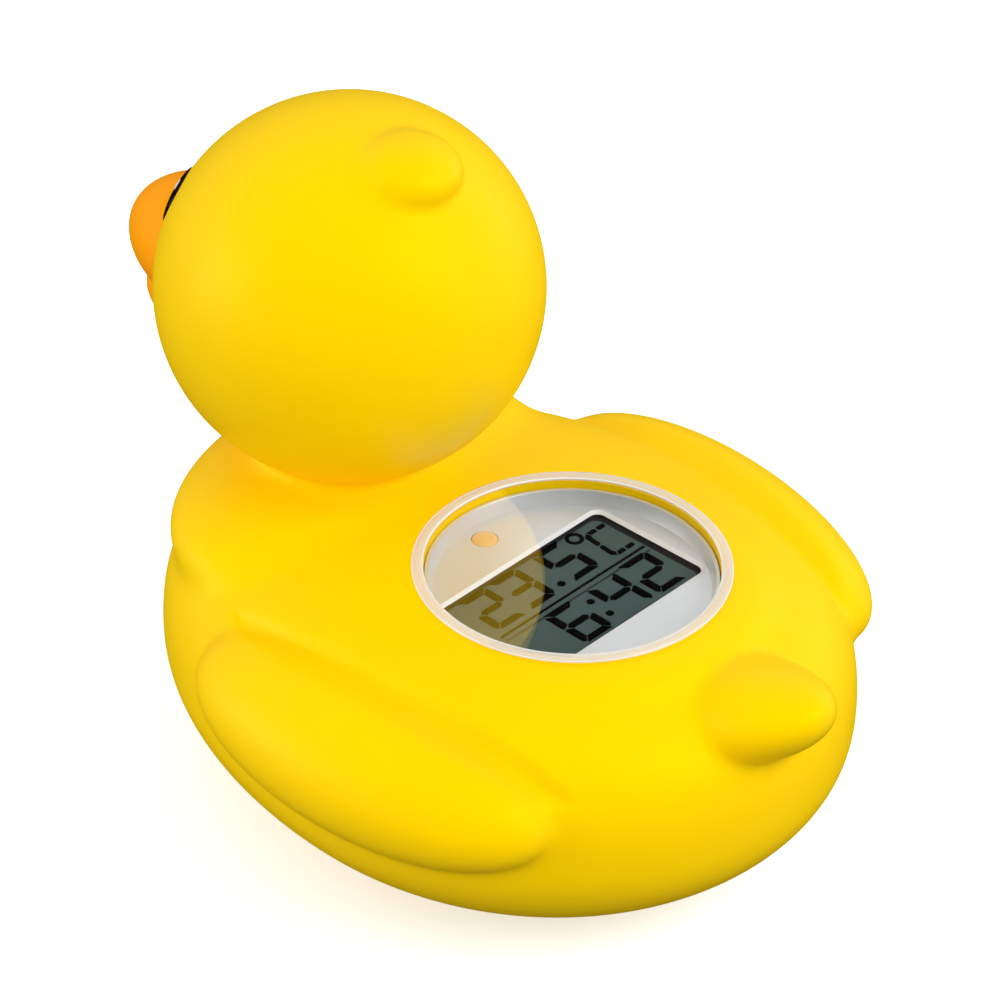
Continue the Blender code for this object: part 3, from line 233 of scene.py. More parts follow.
def moulded(name, colour, rough, vary=0.03, grain=2600.0, depth=0.02 * MM, tint=None, level=0.5,
            metallic=0.0):
    """Moulded plastic, rubber or metal: slight colour drift, uneven gloss and a fine surface grain."""
    rough_vary = 0.05
    mat, nodes, links, shader = tree(name)
    drift = noise(nodes, links, 45.0)
    low = [c * (1 - vary) for c in colour]
    high = [min(1.0, c * (1 + vary)) for c in colour]
    tone = ramp(nodes, links, drift.outputs["Fac"], low, high)
    links.new(tone.outputs["Color"], shader.inputs["Base Color"])
    gloss = noise(nodes, links, 260.0, 2.0)
    spread = nodes.new("ShaderNodeMapRange")
    spread.inputs["To Min"].default_value = rough - rough_vary
    spread.inputs["To Max"].default_value = rough + rough_vary
    links.new(gloss.outputs["Fac"], spread.inputs["Value"])
    links.new(spread.outputs["Result"], shader.inputs["Roughness"])
    fine = noise(nodes, links, grain, 2.0)
    bump(nodes, links, shader, fine.outputs["Fac"], depth)
    shader.inputs["Metallic"].default_value = metallic
    shader.inputs["Specular IOR Level"].default_value = level
    if tint:
        shader.inputs["Specular Tint"].default_value = (*tint, 1.0)
    return mat


def make_materials():
    mats = {}
    mats["skin"] = moulded("duck_yellow", (0.98, 0.635, 0.0), 0.42, 0.012, 1500.0, 0.012 * MM,
                           tint=(1.0, 0.8, 0.0), level=0.4)
    mats["beak"] = moulded("beak_orange", (1.0, 0.35, 0.0), 0.4, 0.02, 1500.0, 0.012 * MM,
                           tint=(1.0, 0.6, 0.05), level=0.2)
    mats["eye"] = moulded("eye_black", (0.012, 0.006, 0.004), 0.18, 0.1, 900.0, 0.004 * MM)
    mats["glint"] = moulded("eye_glint_white", (0.9, 0.9, 0.88), 0.3, 0.02, 900.0, 0.004 * MM)
    # the rim's whitish colour is partly the pale seal seen through the clear rim and partly a painted
    # reflection of the sky
    mats["rim"] = moulded("lens_rim_seal_tone_and_sky_reflection", (0.72, 0.70, 0.67), 0.16, 0.03, 900.0, 0.004 * MM, level=0.7)
    mats["rim"].node_tree.nodes["Principled BSDF"].inputs["Alpha"].default_value = 0.5
    # painted highlight: whitish rings that stand for the gleam on the rim's rounded edges
    mats["rim_line"] = moulded("lens_rim_painted_highlight", (0.86, 0.85, 0.83), 0.16, 0.02, 900.0, 0.004 * MM)
    mats["plate"] = moulded("plate_silver", (0.78, 0.82, 0.86), 0.36, 0.015, 5000.0, 0.006 * MM, metallic=0.5)
    # the bevel is part of the plate, painted whiter than it as a highlight where its slope catches the light
    mats["chamfer"] = moulded("window_bevel_painted_highlight", (0.93, 0.93, 0.94), 0.35, 0.02, 5000.0, 0.006 * MM)
    mats["frame"] = moulded("window_frame_dark", (0.022, 0.02, 0.022), 0.6, 0.1, 3000.0, 0.01 * MM)
    mats["panel"] = moulded("crystal_grey", (0.075, 0.118, 0.118), 0.3, 0.05, 3000.0, 0.002 * MM, level=0.2)
    mats["ink"] = moulded("segment_black", (0.002, 0.0018, 0.0025), 0.5, 0.1, 3000.0, 0.002 * MM, level=0.05)
    mats["shade"] = moulded("segment_shadow", (0.022, 0.036, 0.036), 0.4, 0.1, 3000.0, 0.002 * MM)
    mats["lamp"] = moulded("lamp_amber", (0.86, 0.55, 0.22), 0.3, 0.05, 1500.0, 0.01 * MM)
    mats["seal"] = moulded("seal_rubber", (0.72, 0.70, 0.65), 0.5, 0.03)
    mats["foam"] = moulded("foam_black", (0.015, 0.015, 0.015), 0.9, 0.2, 5000.0, 0.05 * MM)
    mats["strip"] = moulded("strip_rubber", (0.65, 0.32, 0.32), 0.6, 0.05)
    mats["board"] = moulded("board_green", (0.02, 0.16, 0.06), 0.4, 0.1)
    mats["black_plastic"] = moulded("resin_black", (0.012, 0.012, 0.013), 0.4, 0.1)
    mats["white_plastic"] = moulded("moulding_white", (0.75, 0.75, 0.73), 0.45, 0.03)
    mats["steel"] = moulded("steel_plain", (0.62, 0.62, 0.63), 0.28, 0.04, 1800.0, 0.01 * MM, metallic=1.0)
    mats["silicone"] = moulded("silicone_orange", (0.85, 0.40, 0.03), 0.55, 0.04)
    mats["red_lead"] = moulded("lead_red", (0.5, 0.02, 0.02), 0.45, 0.05)
    mats["white_lead"] = moulded("lead_white", (0.72, 0.72, 0.70), 0.45, 0.03)
    return mats


def lens_material():
    """Clear polished plastic that lets the plate show and mirrors what is over it."""
    mat = bpy.data.materials.new("lens_clear")
    mat.use_nodes = True
    nodes, links = mat.node_tree.nodes, mat.node_tree.links
    nodes.clear()
    out = nodes.new("ShaderNodeOutputMaterial")
    clear = nodes.new("ShaderNodeBsdfTransparent")
    clear.inputs["Color"].default_value = (0.98, 0.98, 0.98, 1.0)
    gloss = nodes.new("ShaderNodeBsdfGlossy")
    gloss.inputs["Roughness"].default_value = 0.015
    gloss.inputs["Color"].default_value = (1.0, 1.0, 1.0, 1.0)
    mix = nodes.new("ShaderNodeMixShader")
    mix.inputs["Fac"].default_value = 0.1
    links.new(clear.outputs["BSDF"], mix.inputs[1])
    links.new(gloss.outputs["BSDF"], mix.inputs[2])
    links.new(mix.outputs["Shader"], out.inputs["Surface"])
    return mat


# Shape tools

def place(name, mesh, location=(0, 0, 0), rotation=(0, 0, 0)):
    obj = bpy.data.objects.new(name, mesh)
    bpy.context.scene.collection.objects.link(obj)
    obj.location = location
    obj.rotation_euler = Euler([math.radians(a) for a in rotation])
    return obj


def mesh_of(name, verts, faces, smooth_angle=35.0):
    mesh = bpy.data.meshes.new(name)
    mesh.from_pydata(verts, [], faces)
    bm = bmesh.new()
    bm.from_mesh(mesh)
    bmesh.ops.recalc_face_normals(bm, faces=bm.faces)
    bm.to_mesh(mesh)
    bm.free()
    mesh.shade_smooth()
    mesh.set_sharp_from_angle(angle=math.radians(smooth_angle))
    return mesh


def turned(name, profile, segments=128):
    """A solid turned about Z. The profile's (radius, z) points run once round its section."""
    verts, rings = [], []
    for radius, z in profile:
        if radius < 1e-9:
            rings.append([len(verts)] * segments)
            verts.append((0, 0, z))
            continue
        rings.append(list(range(len(verts), len(verts) + segments)))
        for i in range(segments):
            a = 2 * math.pi * i / segments
            verts.append((radius * math.cos(a), radius * math.sin(a), z))
    faces = []
    closed = profile[0][0] > 1e-9
    pairs = list(zip(rings, rings[1:] + rings[:1])) if closed else list(zip(rings, rings[1:]))
    for low, high in pairs:
        for i in range(segments):
            j = (i + 1) % segments
            corners = []
            for v in (low[i], low[j], high[j], high[i]):
                if v not in corners:
                    corners.append(v)
            if len(corners) > 2:
                faces.append(corners)
    return mesh_of(name, verts, faces)


def disc(radius, low, high):
    return [(0, low), (radius, low), (radius, high), (0, high)]


def prism(name, outline, low, high):
    count = len(outline)
    verts = [(x, y, low) for x, y in outline] + [(x, y, high) for x, y in outline]
    faces = [tuple(reversed(range(count))), tuple(range(count, 2 * count))]
    faces += [(i, (i + 1) % count, (i + 1) % count + count, i + count) for i in range(count)]
    return mesh_of(name, verts, faces)


def oval(half_width, half_length, segments=128):
    steps = [2 * math.pi * i / segments for i in range(segments)]
    return [(half_width * math.cos(a), half_length * math.sin(a)) for a in steps]


def rounded(box, corner, grow=0.0, steps=6):
    """Outline of a rectangle (least x, greatest x, least y, greatest y) with rounded corners."""
    x0, x1, y0, y1 = box[0] - grow, box[1] + grow, box[2] - grow, box[3] + grow
    corner += grow
    points = []
    for quarter, (cx, cy) in enumerate(((x1 - corner, y1 - corner), (x0 + corner, y1 - corner),
                                        (x0 + corner, y0 + corner), (x1 - corner, y0 + corner))):
        for k in range(steps + 1):
            a = math.pi / 2 * (quarter + k / steps)
            points.append((cx + corner * math.cos(a), cy + corner * math.sin(a)))
    return points


def swollen(name, width, front, rear, rise, drop, back_power=2.0, keel_power=2.0, segments=128, rings=64):
    """An egg-like form: its front, rear, upper and lower reach may differ, and its halves may be squarer."""
    verts, faces = [(0, 0, -drop)], []
    for r in range(1, rings):
        angle = math.pi * (r / rings - 0.5)
        c, s = math.cos(angle), math.sin(angle)
        power = back_power if s > 0 else keel_power
        k = (abs(c) ** power + abs(s) ** power) ** (-1 / power)
        for i in range(segments):
            a = 2 * math.pi * i / segments
            reach = rear if math.sin(a) > 0 else front
            z = (rise if s > 0 else drop) * s * k
            verts.append((width * math.cos(a) * c * k, reach * math.sin(a) * c * k, z))
    verts.append((0, 0, rise))
    for i in range(segments):
        j = (i + 1) % segments
        faces.append((0, 1 + j, 1 + i))
        for r in range(rings - 2):
            low, high = 1 + r * segments, 1 + (r + 1) * segments
            faces.append((low + i, low + j, high + j, high + i))
        last = 1 + (rings - 2) * segments
        faces.append((last + i, last + j, len(verts) - 1))
    return mesh_of(name, verts, faces, 180.0)


def ellipsoid(name, radii, segments=96, rings=48):
    x, y, z = radii
    return swollen(name, x, y, y, z, z, segments=segments, rings=rings)


def apply_all(obj):
    """Makes the object's modifiers part of its mesh."""
    bpy.context.view_layer.update()
    graph = bpy.context.evaluated_depsgraph_get()
    mesh = bpy.data.meshes.new_from_object(obj.evaluated_get(graph))
    obj.modifiers.clear()
    obj.data = mesh


def combine(target, others, operation):
    for other in others:
        mod = target.modifiers.new(operation, "BOOLEAN")
        mod.operation = operation
        mod.object = other
        mod.solver = "EXACT"
    apply_all(target)
    for other in others:
        bpy.data.objects.remove(other)


def join(target, *others):
    combine(target, others, "UNION")


def cut(target, *others):
    combine(target, others, "DIFFERENCE")


def soften(target, grain, spread):
    """Rounds the creases where the joined forms meet."""
    remesh = target.modifiers.new("Grain", "REMESH")
    remesh.mode = "VOXEL"
    remesh.voxel_size = grain
    remesh.use_smooth_shade = True
    smooth = target.modifiers.new("Soften", "SMOOTH")
    smooth.factor = 0.5
    smooth.iterations = max(3, round(spread / grain ** 2))
    apply_all(target)


def crisp(obj, degrees=SMOOTH_UNDER):
    """Smooth shading that keeps the edges sharper than so many degrees."""
    obj.data.shade_smooth()
    obj.data.set_sharp_from_angle(angle=math.radians(degrees))


def stand_on_head(obj, direction, height):
    obj.location = HEAD + direction * height
    obj.rotation_euler = direction.to_track_quat("Z", "Y").to_euler()


def dress(obj, mat, slot, *nodes, body=BODY):
    """Gives a piece its material, hangs it on the body and hides the frame's solids that it stands for."""
    obj.data.materials.clear()
    obj.data.materials.append(mat)
    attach(obj, body)
    if nodes:
        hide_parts(*nodes)


# The duck's skin

def head_point(degrees_below, inset):
    a = math.radians(degrees_below)
    return HEAD + Vector((0, -math.cos(a), -math.sin(a))) * (HEAD_RADIUS - inset)


def sky_way(side, aside, above):
    """Direction from the head's middle, in degrees aside from straight ahead and above the level."""
    aside, above = math.radians(aside), math.radians(above)
    return Vector((side * math.sin(aside) * math.cos(above), -math.cos(aside) * math.cos(above),
                   math.sin(above)))


def eye_turn(side):
    return sky_way(side, EYE_ASIDE, EYE_ABOVE)


def tuft_guide():
    """The short lock on the crown, swept straight back with its rear end lifted."""
    a = math.radians(TUFT_BEHIND)
    middle = HEAD + Vector((0, math.sin(a), math.cos(a))) * (HEAD_RADIUS - TUFT_SINK)
    lock = ellipsoid("tuft_guide", TUFT_RADII, 64, 32)
    return place("tuft_guide", lock, middle, (TUFT_TILT - TUFT_BEHIND, 0, 0))


def wing_middle(side):
    return Vector((side * (BODY_HALF_WIDTH - WING_INSET), BODY_Y + WING_BEHIND, BODY_LEVEL + WING_RAISE))


def carve_wings(skin):
    """Sinks a shallow hollow along each wing's upper edge, so that the wing starts with a crisp outline."""
    to_world = skin.matrix_world
    to_skin = to_world.inverted()
    pitch, roll, yaw = (math.radians(a) for a in WING_TURN)
    for side in (1, -1):
        turn = Euler((pitch, side * roll, side * yaw)).to_matrix()
        middle = wing_middle(side)
        for vert in skin.data.vertices:
            spot = turn.transposed() @ (to_world @ vert.co - middle)
            out = side * spot.x - WING_EDGE_IN
            share = (spot.y - WING_EDGE_MIDDLE) / WING_EDGE_REACH
            if not (0 < out < WING_BAND + WING_HOLLOW and abs(share) < 1 and spot.z > WING_FLOOR):
                continue
            taper = math.sqrt(1 - share * share)
            band, width = WING_BAND * taper, WING_HOLLOW * taper
            if out < band:
                sunk = out / band
            elif out < band + width:
                sunk = (1 + math.cos(math.pi * (out - band) / width)) / 2
            else:
                continue
            spot.z -= WING_HOLLOW_DEPTH * math.sqrt(taper) * sunk
            vert.co = to_skin @ (middle + turn @ spot)
    blur = skin.modifiers.new("Blur", "SMOOTH")
    blur.factor = 0.5
    blur.iterations = max(1, round(EDGE_SPREAD / SKIN_GRAIN ** 2))
    apply_all(skin)


def skin_form():
    """The duck's outer form, before anything is cut out of it."""
    body = swollen("duck_skin", BODY_HALF_WIDTH, BODY_FRONT, BODY_REAR, BODY_RISE, BODY_DROP,
                   BACK_SQUARENESS, KEEL_SQUARENESS, 192, 96)
    skin = place("duck_skin", body, (0, BODY_Y, BODY_LEVEL))
    deck = swollen("deck_guide", DECK_RADIUS, DECK_RADIUS, DECK_RADIUS, DECK_RISE, DECK_RISE, DECK_SQUARENESS)
    join(skin, place("breast_guide", ellipsoid("breast_guide", BREAST_RADII), BREAST),
         place("deck_guide", deck, (DISPLAY.x, DISPLAY.y, LENS_PLANE - DECK_RISE)),
         place("head_guide", ellipsoid("head_guide", [HEAD_RADIUS] * 3, 128, 64), HEAD))
    soften(skin, SKIN_GRAIN, JOIN_SPREAD)
    limbs = []
    for side, name in ((1, "wing_guide_left"), (-1, "wing_guide_right")):
        pitch, roll, yaw = WING_TURN
        turn = (pitch, side * roll, side * yaw)
        limbs.append(place(name, ellipsoid(name, WING_RADII), wing_middle(side), turn))
    tail_y = BODY_Y + BODY_REAR + TAIL_OVERHANG - TAIL_RADII[1] * math.cos(math.radians(TAIL_LIFT))
    limbs.append(place("tail_guide", ellipsoid("tail_guide", TAIL_RADII),
                       (0, tail_y, BODY_LEVEL + TAIL_RAISE), (TAIL_LIFT, 0, 0)))
    join(skin, *limbs, tuft_guide())
    soften(skin, SKIN_GRAIN, LIMB_SPREAD)
    carve_wings(skin)
    return skin


def make_skin(mats):
    """The skin with its openings for the display, the base plate and the eyes, cut flat where it stands."""
    skin = skin_form()
    seat = LENS_RADIUS + FINE
    wide = WELL_RADIUS + BORE_EASE
    top, ledge = LENS_PLANE + HEAD_CLEAR, LENS_PLANE - LEDGE_DEPTH
    step, end = LENS_PLANE - WELL_DEPTH, LENS_PLANE - BORE_DEPTH
    bore = [(0, end), (wide, end), (wide, step), (WELL_RADIUS, step), (WELL_RADIUS, ledge), (seat, ledge),
            (seat, top), (0, top)]
    ground = [(-REACH, -REACH * 1.5), (REACH, -REACH * 1.5), (REACH, REACH * 1.5), (-REACH, REACH * 1.5)]
    base = oval(BASE_HALF_WIDTH + GAP, BASE_HALF_LENGTH + GAP)
    cutters = [place("bore_guide", turned("bore_guide", bore, 160), (DISPLAY.x, DISPLAY.y, 0)),
               place("flat_guide", prism("flat_guide", ground, -REACH, 0)),
               place("base_guide", prism("base_guide", base, -CUT_PAST, BASE_POCKET), BASE_MIDDLE)]
    for side in (-1, 1):
        name = f"socket_{side}"
        socket = place(name, turned(name, disc(EYE_RADIUS + FINE, 0, SOCKET_CUT), 96))
        stand_on_head(socket, eye_turn(side), HEAD_RADIUS - EYE_DEPTH)
        cutters.append(socket)
    cut(skin, *cutters)
    crisp(skin)
    dress(skin, mats["skin"], "skin", "body_shell")


def make_beak(mats):
    """Upper and lower bill as one moulding, hollowed where it sits on the head."""
    beak = place("beak_moulding", ellipsoid("beak_moulding", BILL_RADII), head_point(BILL_BELOW, BILL_INSET))
    join(beak, place("lower_bill_guide", ellipsoid("lower_bill_guide", LOWER_BILL_RADII),
                     head_point(LOWER_BILL_BELOW, LOWER_BILL_INSET)))
    soften(beak, BEAK_GRAIN, BEAK_SPREAD)
    cut(beak, place("beak_seat", ellipsoid("beak_seat", [HEAD_RADIUS - BEAK_BITE] * 3, 128, 64), HEAD))
    crisp(beak)
    dress(beak, mats["beak"], "beak", "beak")


def make_eye(side, mats):
    """An eye's flat dome, bent to the head's round, with its white fleck."""
    hand = "left" if side > 0 else "right"
    name, glint_name, node = f"eye_dome_{hand}", f"eye_glint_{hand}", f"eye_{hand}"
    drop = HEAD_RADIUS - math.sqrt(HEAD_RADIUS ** 2 - EYE_RADIUS ** 2)
    steps = 14
    profile = [(0, -EYE_DEPTH), (EYE_RADIUS, -EYE_DEPTH)]
    for k in range(steps):
        a = math.pi / 2 * k / steps
        r = EYE_RADIUS * math.cos(a)
        profile.append((r, EYE_CROWN * math.sin(a) - drop * (r / EYE_RADIUS) ** 2))
    profile.append((0, EYE_CROWN))
    eye = place(name, turned(name, profile, 96))
    stand_on_head(eye, eye_turn(side), HEAD_RADIUS)
    dress(eye, mats["eye"], "eye", node)
    low, high = (sky_way(side, *ends) for ends in GLINT_ENDS)
    middle = (low + high).normalized()
    glint = place(glint_name, ellipsoid(glint_name, GLINT_RADII, 32, 16))
    along = (high - low).normalized()
    across = middle.cross(along)
    glint.matrix_world = Matrix.Translation(HEAD + middle * (HEAD_RADIUS + GLINT_LIFT)) @ Matrix(
        (along, across, middle)).transposed().to_4x4()
    dress(glint, mats["glint"], "eye", node)


# The display

def make_lens(mats):
    """The lens's rim, whitish partly for the seal seen through it and partly as a painted reflection of the
    sky, the two rings of painted highlight on it, and the clear dome inside it.
    """
    inner = LENS_RADIUS - LENS_RIM
    middle = LENS_RADIUS - LENS_RIM / 2
    section = [(inner, -RIM_FOOT), (LENS_RADIUS, -RIM_FOOT), (LENS_RADIUS, 0)]
    steps = 12
    for k in range(1, steps):
        a = math.pi * k / steps
        section.append((middle + LENS_RIM / 2 * math.cos(a), RIM_RISE * math.sin(a) ** RIM_FULLNESS))
    section.append((inner, 0))
    rim = place("lens_rim", turned("lens_rim", section, 192), DISPLAY)
    rim.visible_shadow = False
    dress(rim, mats["rim"], "clear", "lens")
    # each ring is a painted highlight along an edge of the rim
    for name, radius, thick, rise in RIM_HIGHLIGHTS:
        turns = [2 * math.pi * k / 10 for k in range(10)]
        line = turned(name, [(radius + thick * math.cos(a), rise + thick * math.sin(a)) for a in turns], 192)
        line = place(name, line, DISPLAY)
        line.visible_shadow = False
        dress(line, mats["rim_line"], "clear", "lens")
    steps = 24
    shares = [1 - k / steps for k in range(steps + 1)]
    dome = [((inner - HAIR) * s, LENS_CROWN - (LENS_CROWN - LENS_EDGE) * s ** 2) for s in shares]
    clear = place("lens_clear", turned("lens_clear", dome, 192), DISPLAY)
    clear.visible_shadow = False
    clear.visible_diffuse = False
    dress(clear, lens_material(), "clear", "lens")


def lamp_middle():
    return DISPLAY - Vector((0, LAMP_AHEAD, 0))


def display_piece(name, outline, low, high):
    """A flat piece of the display, from a depth to a depth under the lens plane."""
    return place(name, prism(name, outline, low, high), DISPLAY)


def make_plate(mats):
    """The silver dish with its openings, the window's bevel painted pale as a highlight, its dark frame, and
    the panel's dark edge.
    """
    rim, floor = -PLATE_RIM_DEPTH, -PLATE_FLOOR_DEPTH
    under = floor - PLATE_THICK
    land, turn = PLATE_RADIUS - PLATE_LAND, DISH_ROUND
    profile = [(0, under), (PLATE_RADIUS, under), (PLATE_RADIUS, rim), (land, rim),
               (land - PLATE_ROUND, rim - 0.8 * PLATE_ROUND), (DISH_RADIUS + 0.1 * turn, floor + turn),
               (DISH_RADIUS - 0.24 * turn, floor + 0.24 * turn), (DISH_RADIUS - turn, floor), (0, floor)]
    plate = place("dish_plate", turned("dish_plate", profile, 160), DISPLAY)
    low, high = under - CUT_PAST, floor + CUT_PAST
    hole = display_piece("window_guide", rounded(WINDOW, WINDOW_CORNER, BEVEL_WIDTH + HAIR), low, high)
    round_hole = turned("lamp_guide", disc(LAMP_RADIUS + LAMP_EASE, low, high), 64)
    lamp = place("lamp_guide", round_hole, lamp_middle())
    cut(plate, hole, lamp)
    crisp(plate, 35.0)
    dress(plate, mats["plate"], "plate", "display_plate")
    foot = floor - BEVEL_DROP
    bevel = window_ring("window_chamfer", 0.0, BEVEL_WIDTH, foot, floor + BEVEL_LIP)
    dress(bevel, mats["chamfer"], "plate", "display_plate")
    edge = window_ring("window_frame", 0.0, BEVEL_WIDTH, -PANEL_DEPTH - FRAME_SINK, foot - HAIR, False)
    dress(edge, mats["frame"], "foam", "panel_gasket")
    inside = [side + way * width for side, way, width in zip(WINDOW, (1, -1, 1, -1), MASK_WIDTHS)]
    low = -PANEL_DEPTH + HAIR / 2
    mask = window_ring("window_mask", -HAIR, 0.0, low, low + MASK_THICK, False, inside)
    dress(mask, mats["frame"], "panel", "lcd_panel")


def window_ring(name, inner, outer, low, high, ramp_in=True, inside=WINDOW):
    """A frame round the window, its inner face sloping inwards or straight."""
    a = rounded(inside, WINDOW_CORNER, inner)
    b = rounded(WINDOW, WINDOW_CORNER, outer)
    count = len(a)
    top_inner = rounded(WINDOW, WINDOW_CORNER, outer - BEVEL_LAND) if ramp_in else a
    verts = [(x, y, low) for x, y in a] + [(x, y, low) for x, y in b]
    verts += [(x, y, high) for x, y in b] + [(x, y, high) for x, y in top_inner]
    faces = []
    for i in range(count):
        j = (i + 1) % count
        for ring in range(4):
            p, q = ring * count, ((ring + 1) % 4) * count
            faces.append((p + i, p + j, q + j, q + i))
    return place(name, mesh_of(name, verts, faces), DISPLAY)


# Seven bars of a digit: top, upper left, upper right, middle, lower left, lower right, bottom
DIGITS = {"2": "1011101", "3": "1011011", "4": "0111010", "5": "1101011", "6": "1101111"}
DIGIT_WIDTH = 4.0 * MM       # between the middles of the upright bars
DIGIT_HEIGHT = 6.4 * MM
BAR_UPRIGHT = 1.16 * MM
BAR_LEVEL = 0.98 * MM
BAR_GAP = 0.09 * MM
SNIP = 0.05 * MM             # the cuts at a bar's corners are counted in this
SLANT = 0.03
INK_LOW = -PANEL_DEPTH + HAIR
INK_HIGH = INK_LOW + 0.05 * MM
SHADE_THICK = 0.02 * MM

# Middles of what the panel shows, to the right and up from the display's middle
DIGIT_PLACES = (("2", -9.21 * MM, 4.83 * MM), ("3", -3.68 * MM, 4.85 * MM), ("5", 4.4 * MM, 4.97 * MM),
                ("6", -3.81 * MM, -4.54 * MM), ("4", 3.95 * MM, -4.45 * MM), ("2", 10.0 * MM, -4.36 * MM))
DOTS = ((0.5 * MM, 2.15 * MM, 0.54 * MM), (0.2 * MM, -2.95 * MM, 0.52 * MM),
        (0.07 * MM, -6.2 * MM, 0.52 * MM))                         # right, up and radius
DEGREE_RING = (8.65 * MM, 7.3 * MM, 0.7 * MM, 1.2 * MM)           # right, up, inner and outer radius
LETTER_PLACE = (11.55 * MM, 4.03 * MM)
LETTER_HALF_WIDTH = 1.75 * MM
LETTER_HALF_HEIGHT = 2.64 * MM
LETTER_HALF_BAR = 0.35 * MM
LETTER_LEAN = 0.09
DIVIDER = (-12.75 * MM, 13.5 * MM, -0.17 * MM, 0.17 * MM)          # left, right, low, high
DIVIDER_SHADOW = (-12.75 * MM, 13.4 * MM, -1.12 * MM, -0.85 * MM)


def bar(points):
    """Outline from (right, up) points to display coordinates, where up is -Y and right is -X."""
    return [(-x, -y) for x, y in points]


def level_bar(left, right, low, high):
    return bar([(left, low), (right, low), (right, high), (left, high)])


def digit_bars(code, cx, cy):
    """Outlines of a digit's lit bars. cx and cy give its middle, to the right and up, on the display."""
    w, h = DIGIT_WIDTH / 2, DIGIT_HEIGHT / 2
    tu, tl, g, s = BAR_UPRIGHT / 2, BAR_LEVEL / 2, BAR_GAP, SNIP
    outer, inner = w + tu, w - tu
    top_out, top_in = h + tl, h - tl
    shapes = [
        [(-outer + 2 * g, top_out), (outer - 2 * g - 6 * s, top_out), (outer - g - 7 * s, top_out - 5 * s),
         (inner - 0.5 * g, top_in), (-inner + 0.5 * g, top_in)],
        [(-outer, top_out - 2 * g - 5 * s), (-inner, top_in - g), (-inner, tl + g),
         (-outer + 0.4 * tu, 0.8 * g), (-outer, 3 * g)],
        [(outer - 6 * s, top_out - 2 * g - 4 * s), (outer, top_out - 2 * g - 9 * s), (outer, 5 * g),
         (outer - 0.6 * tu, 0.8 * g), (inner, tl + g), (inner, top_in - g)],
        [(-inner - 0.7 * tu, 0), (-inner + g, tl), (inner - g, tl), (inner + 0.7 * tu, 0), (inner - g, -tl),
         (-inner + g, -tl)],
        [(-outer, -3 * g), (-outer + 0.4 * tu, -0.8 * g), (-inner, -tl - g), (-inner, -top_in + g),
         (-outer + 8 * s, -top_out + 3 * g), (-outer, -top_out + 3 * g + 8 * s)],
        [(outer, -3 * g), (outer, -top_out + 3 * g + 8 * s), (outer - 8 * s, -top_out + 3 * g),
         (inner, -top_in + g), (inner, -tl - g), (outer - 0.4 * tu, -0.8 * g)],
        [(-inner + 0.5 * g, -top_in), (inner - 0.5 * g, -top_in), (outer - 9 * s, -top_out),
         (-outer + 9 * s, -top_out)],
    ]
    lit = [shape for state, shape in zip(DIGITS[code], shapes) if state == "1"]
    return [bar([(cx + x + SLANT * y, cy + y) for x, y in shape]) for shape in lit]


def dot(cx, cy, radius, segments=28):
    steps = [2 * math.pi * k / segments for k in range(segments)]
    return bar([(cx + radius * math.cos(a), cy + radius * math.sin(a)) for a in steps])


def letter_c(cx, cy):
    """The unit's letter, of thin bars: two on top, two at the left and two below."""
    w, h, t, s = LETTER_HALF_WIDTH, LETTER_HALF_HEIGHT, LETTER_HALF_BAR, SNIP
    shapes = [
        [(-w + 9 * s, h + t), (0, h + t), (3 * s, h), (0, h - t), (-w + 16 * s, h - t)],
        [(7 * s, h), (10 * s, h + t), (w, h + t), (w - 2.4 * s, h - t), (10 * s, h - t)],
        [(-w - t, h - 5 * s), (-w + 5 * s, h + 0.6 * t), (-w + t + 5 * s, h - t), (-w + t, h - 18 * s),
         (-w + t, 6 * s), (-w, 1.6 * s), (-w - t, 6 * s)],
        [(-w - t, -6 * s), (-w, -1.6 * s), (-w + t, -6 * s), (-w + t, -h + 18 * s), (-w + t + 4 * s, -h + t),
         (-w + 6 * s, -h - 0.6 * t), (-w - t, -h + 8 * s)],
        [(-w + 9 * s, -h - t), (-w + 16 * s, -h + t), (0, -h + t), (3 * s, -h), (0, -h - t)],
        [(7 * s, -h), (10 * s, -h + t), (w - 3 * s, -h + t), (w, -h), (w - 3 * s, -h - t), (10 * s, -h - t)],
    ]
    return [bar([(cx + x + LETTER_LEAN * y, cy + y) for x, y in shape]) for shape in shapes]


def ring_mesh(cx, cy, inner, outer, low, high, segments=40):
    verts, faces = [], []
    for radius, z in ((inner, low), (outer, low), (outer, high), (inner, high)):
        for k in range(segments):
            a = 2 * math.pi * k / segments
            verts.append((-cx + radius * math.cos(a), -cy + radius * math.sin(a), z))
    for i in range(segments):
        j = (i + 1) % segments
        for ring in range(4):
            p, q = ring * segments, ((ring + 1) % 4) * segments
            faces.append((p + i, p + j, q + j, q + i))
    return verts, faces


def many_prisms(name, outlines, low, high, extra=()):
    """One mesh of several flat plates, and of the extra (points, faces) parts."""
    verts, faces = [], []
    for outline in outlines:
        start, count = len(verts), len(outline)
        verts += [(x, y, low) for x, y in outline] + [(x, y, high) for x, y in outline]
        faces.append([start + i for i in reversed(range(count))])
        faces.append([start + count + i for i in range(count)])
        for i in range(count):
            j = (i + 1) % count
            faces.append([start + i, start + j, start + count + j, start + count + i])
    for more_verts, more_faces in extra:
        start = len(verts)
        verts += more_verts
        faces += [[start + v for v in face] for face in more_faces]
    return mesh_of(name, verts, faces, 30.0)


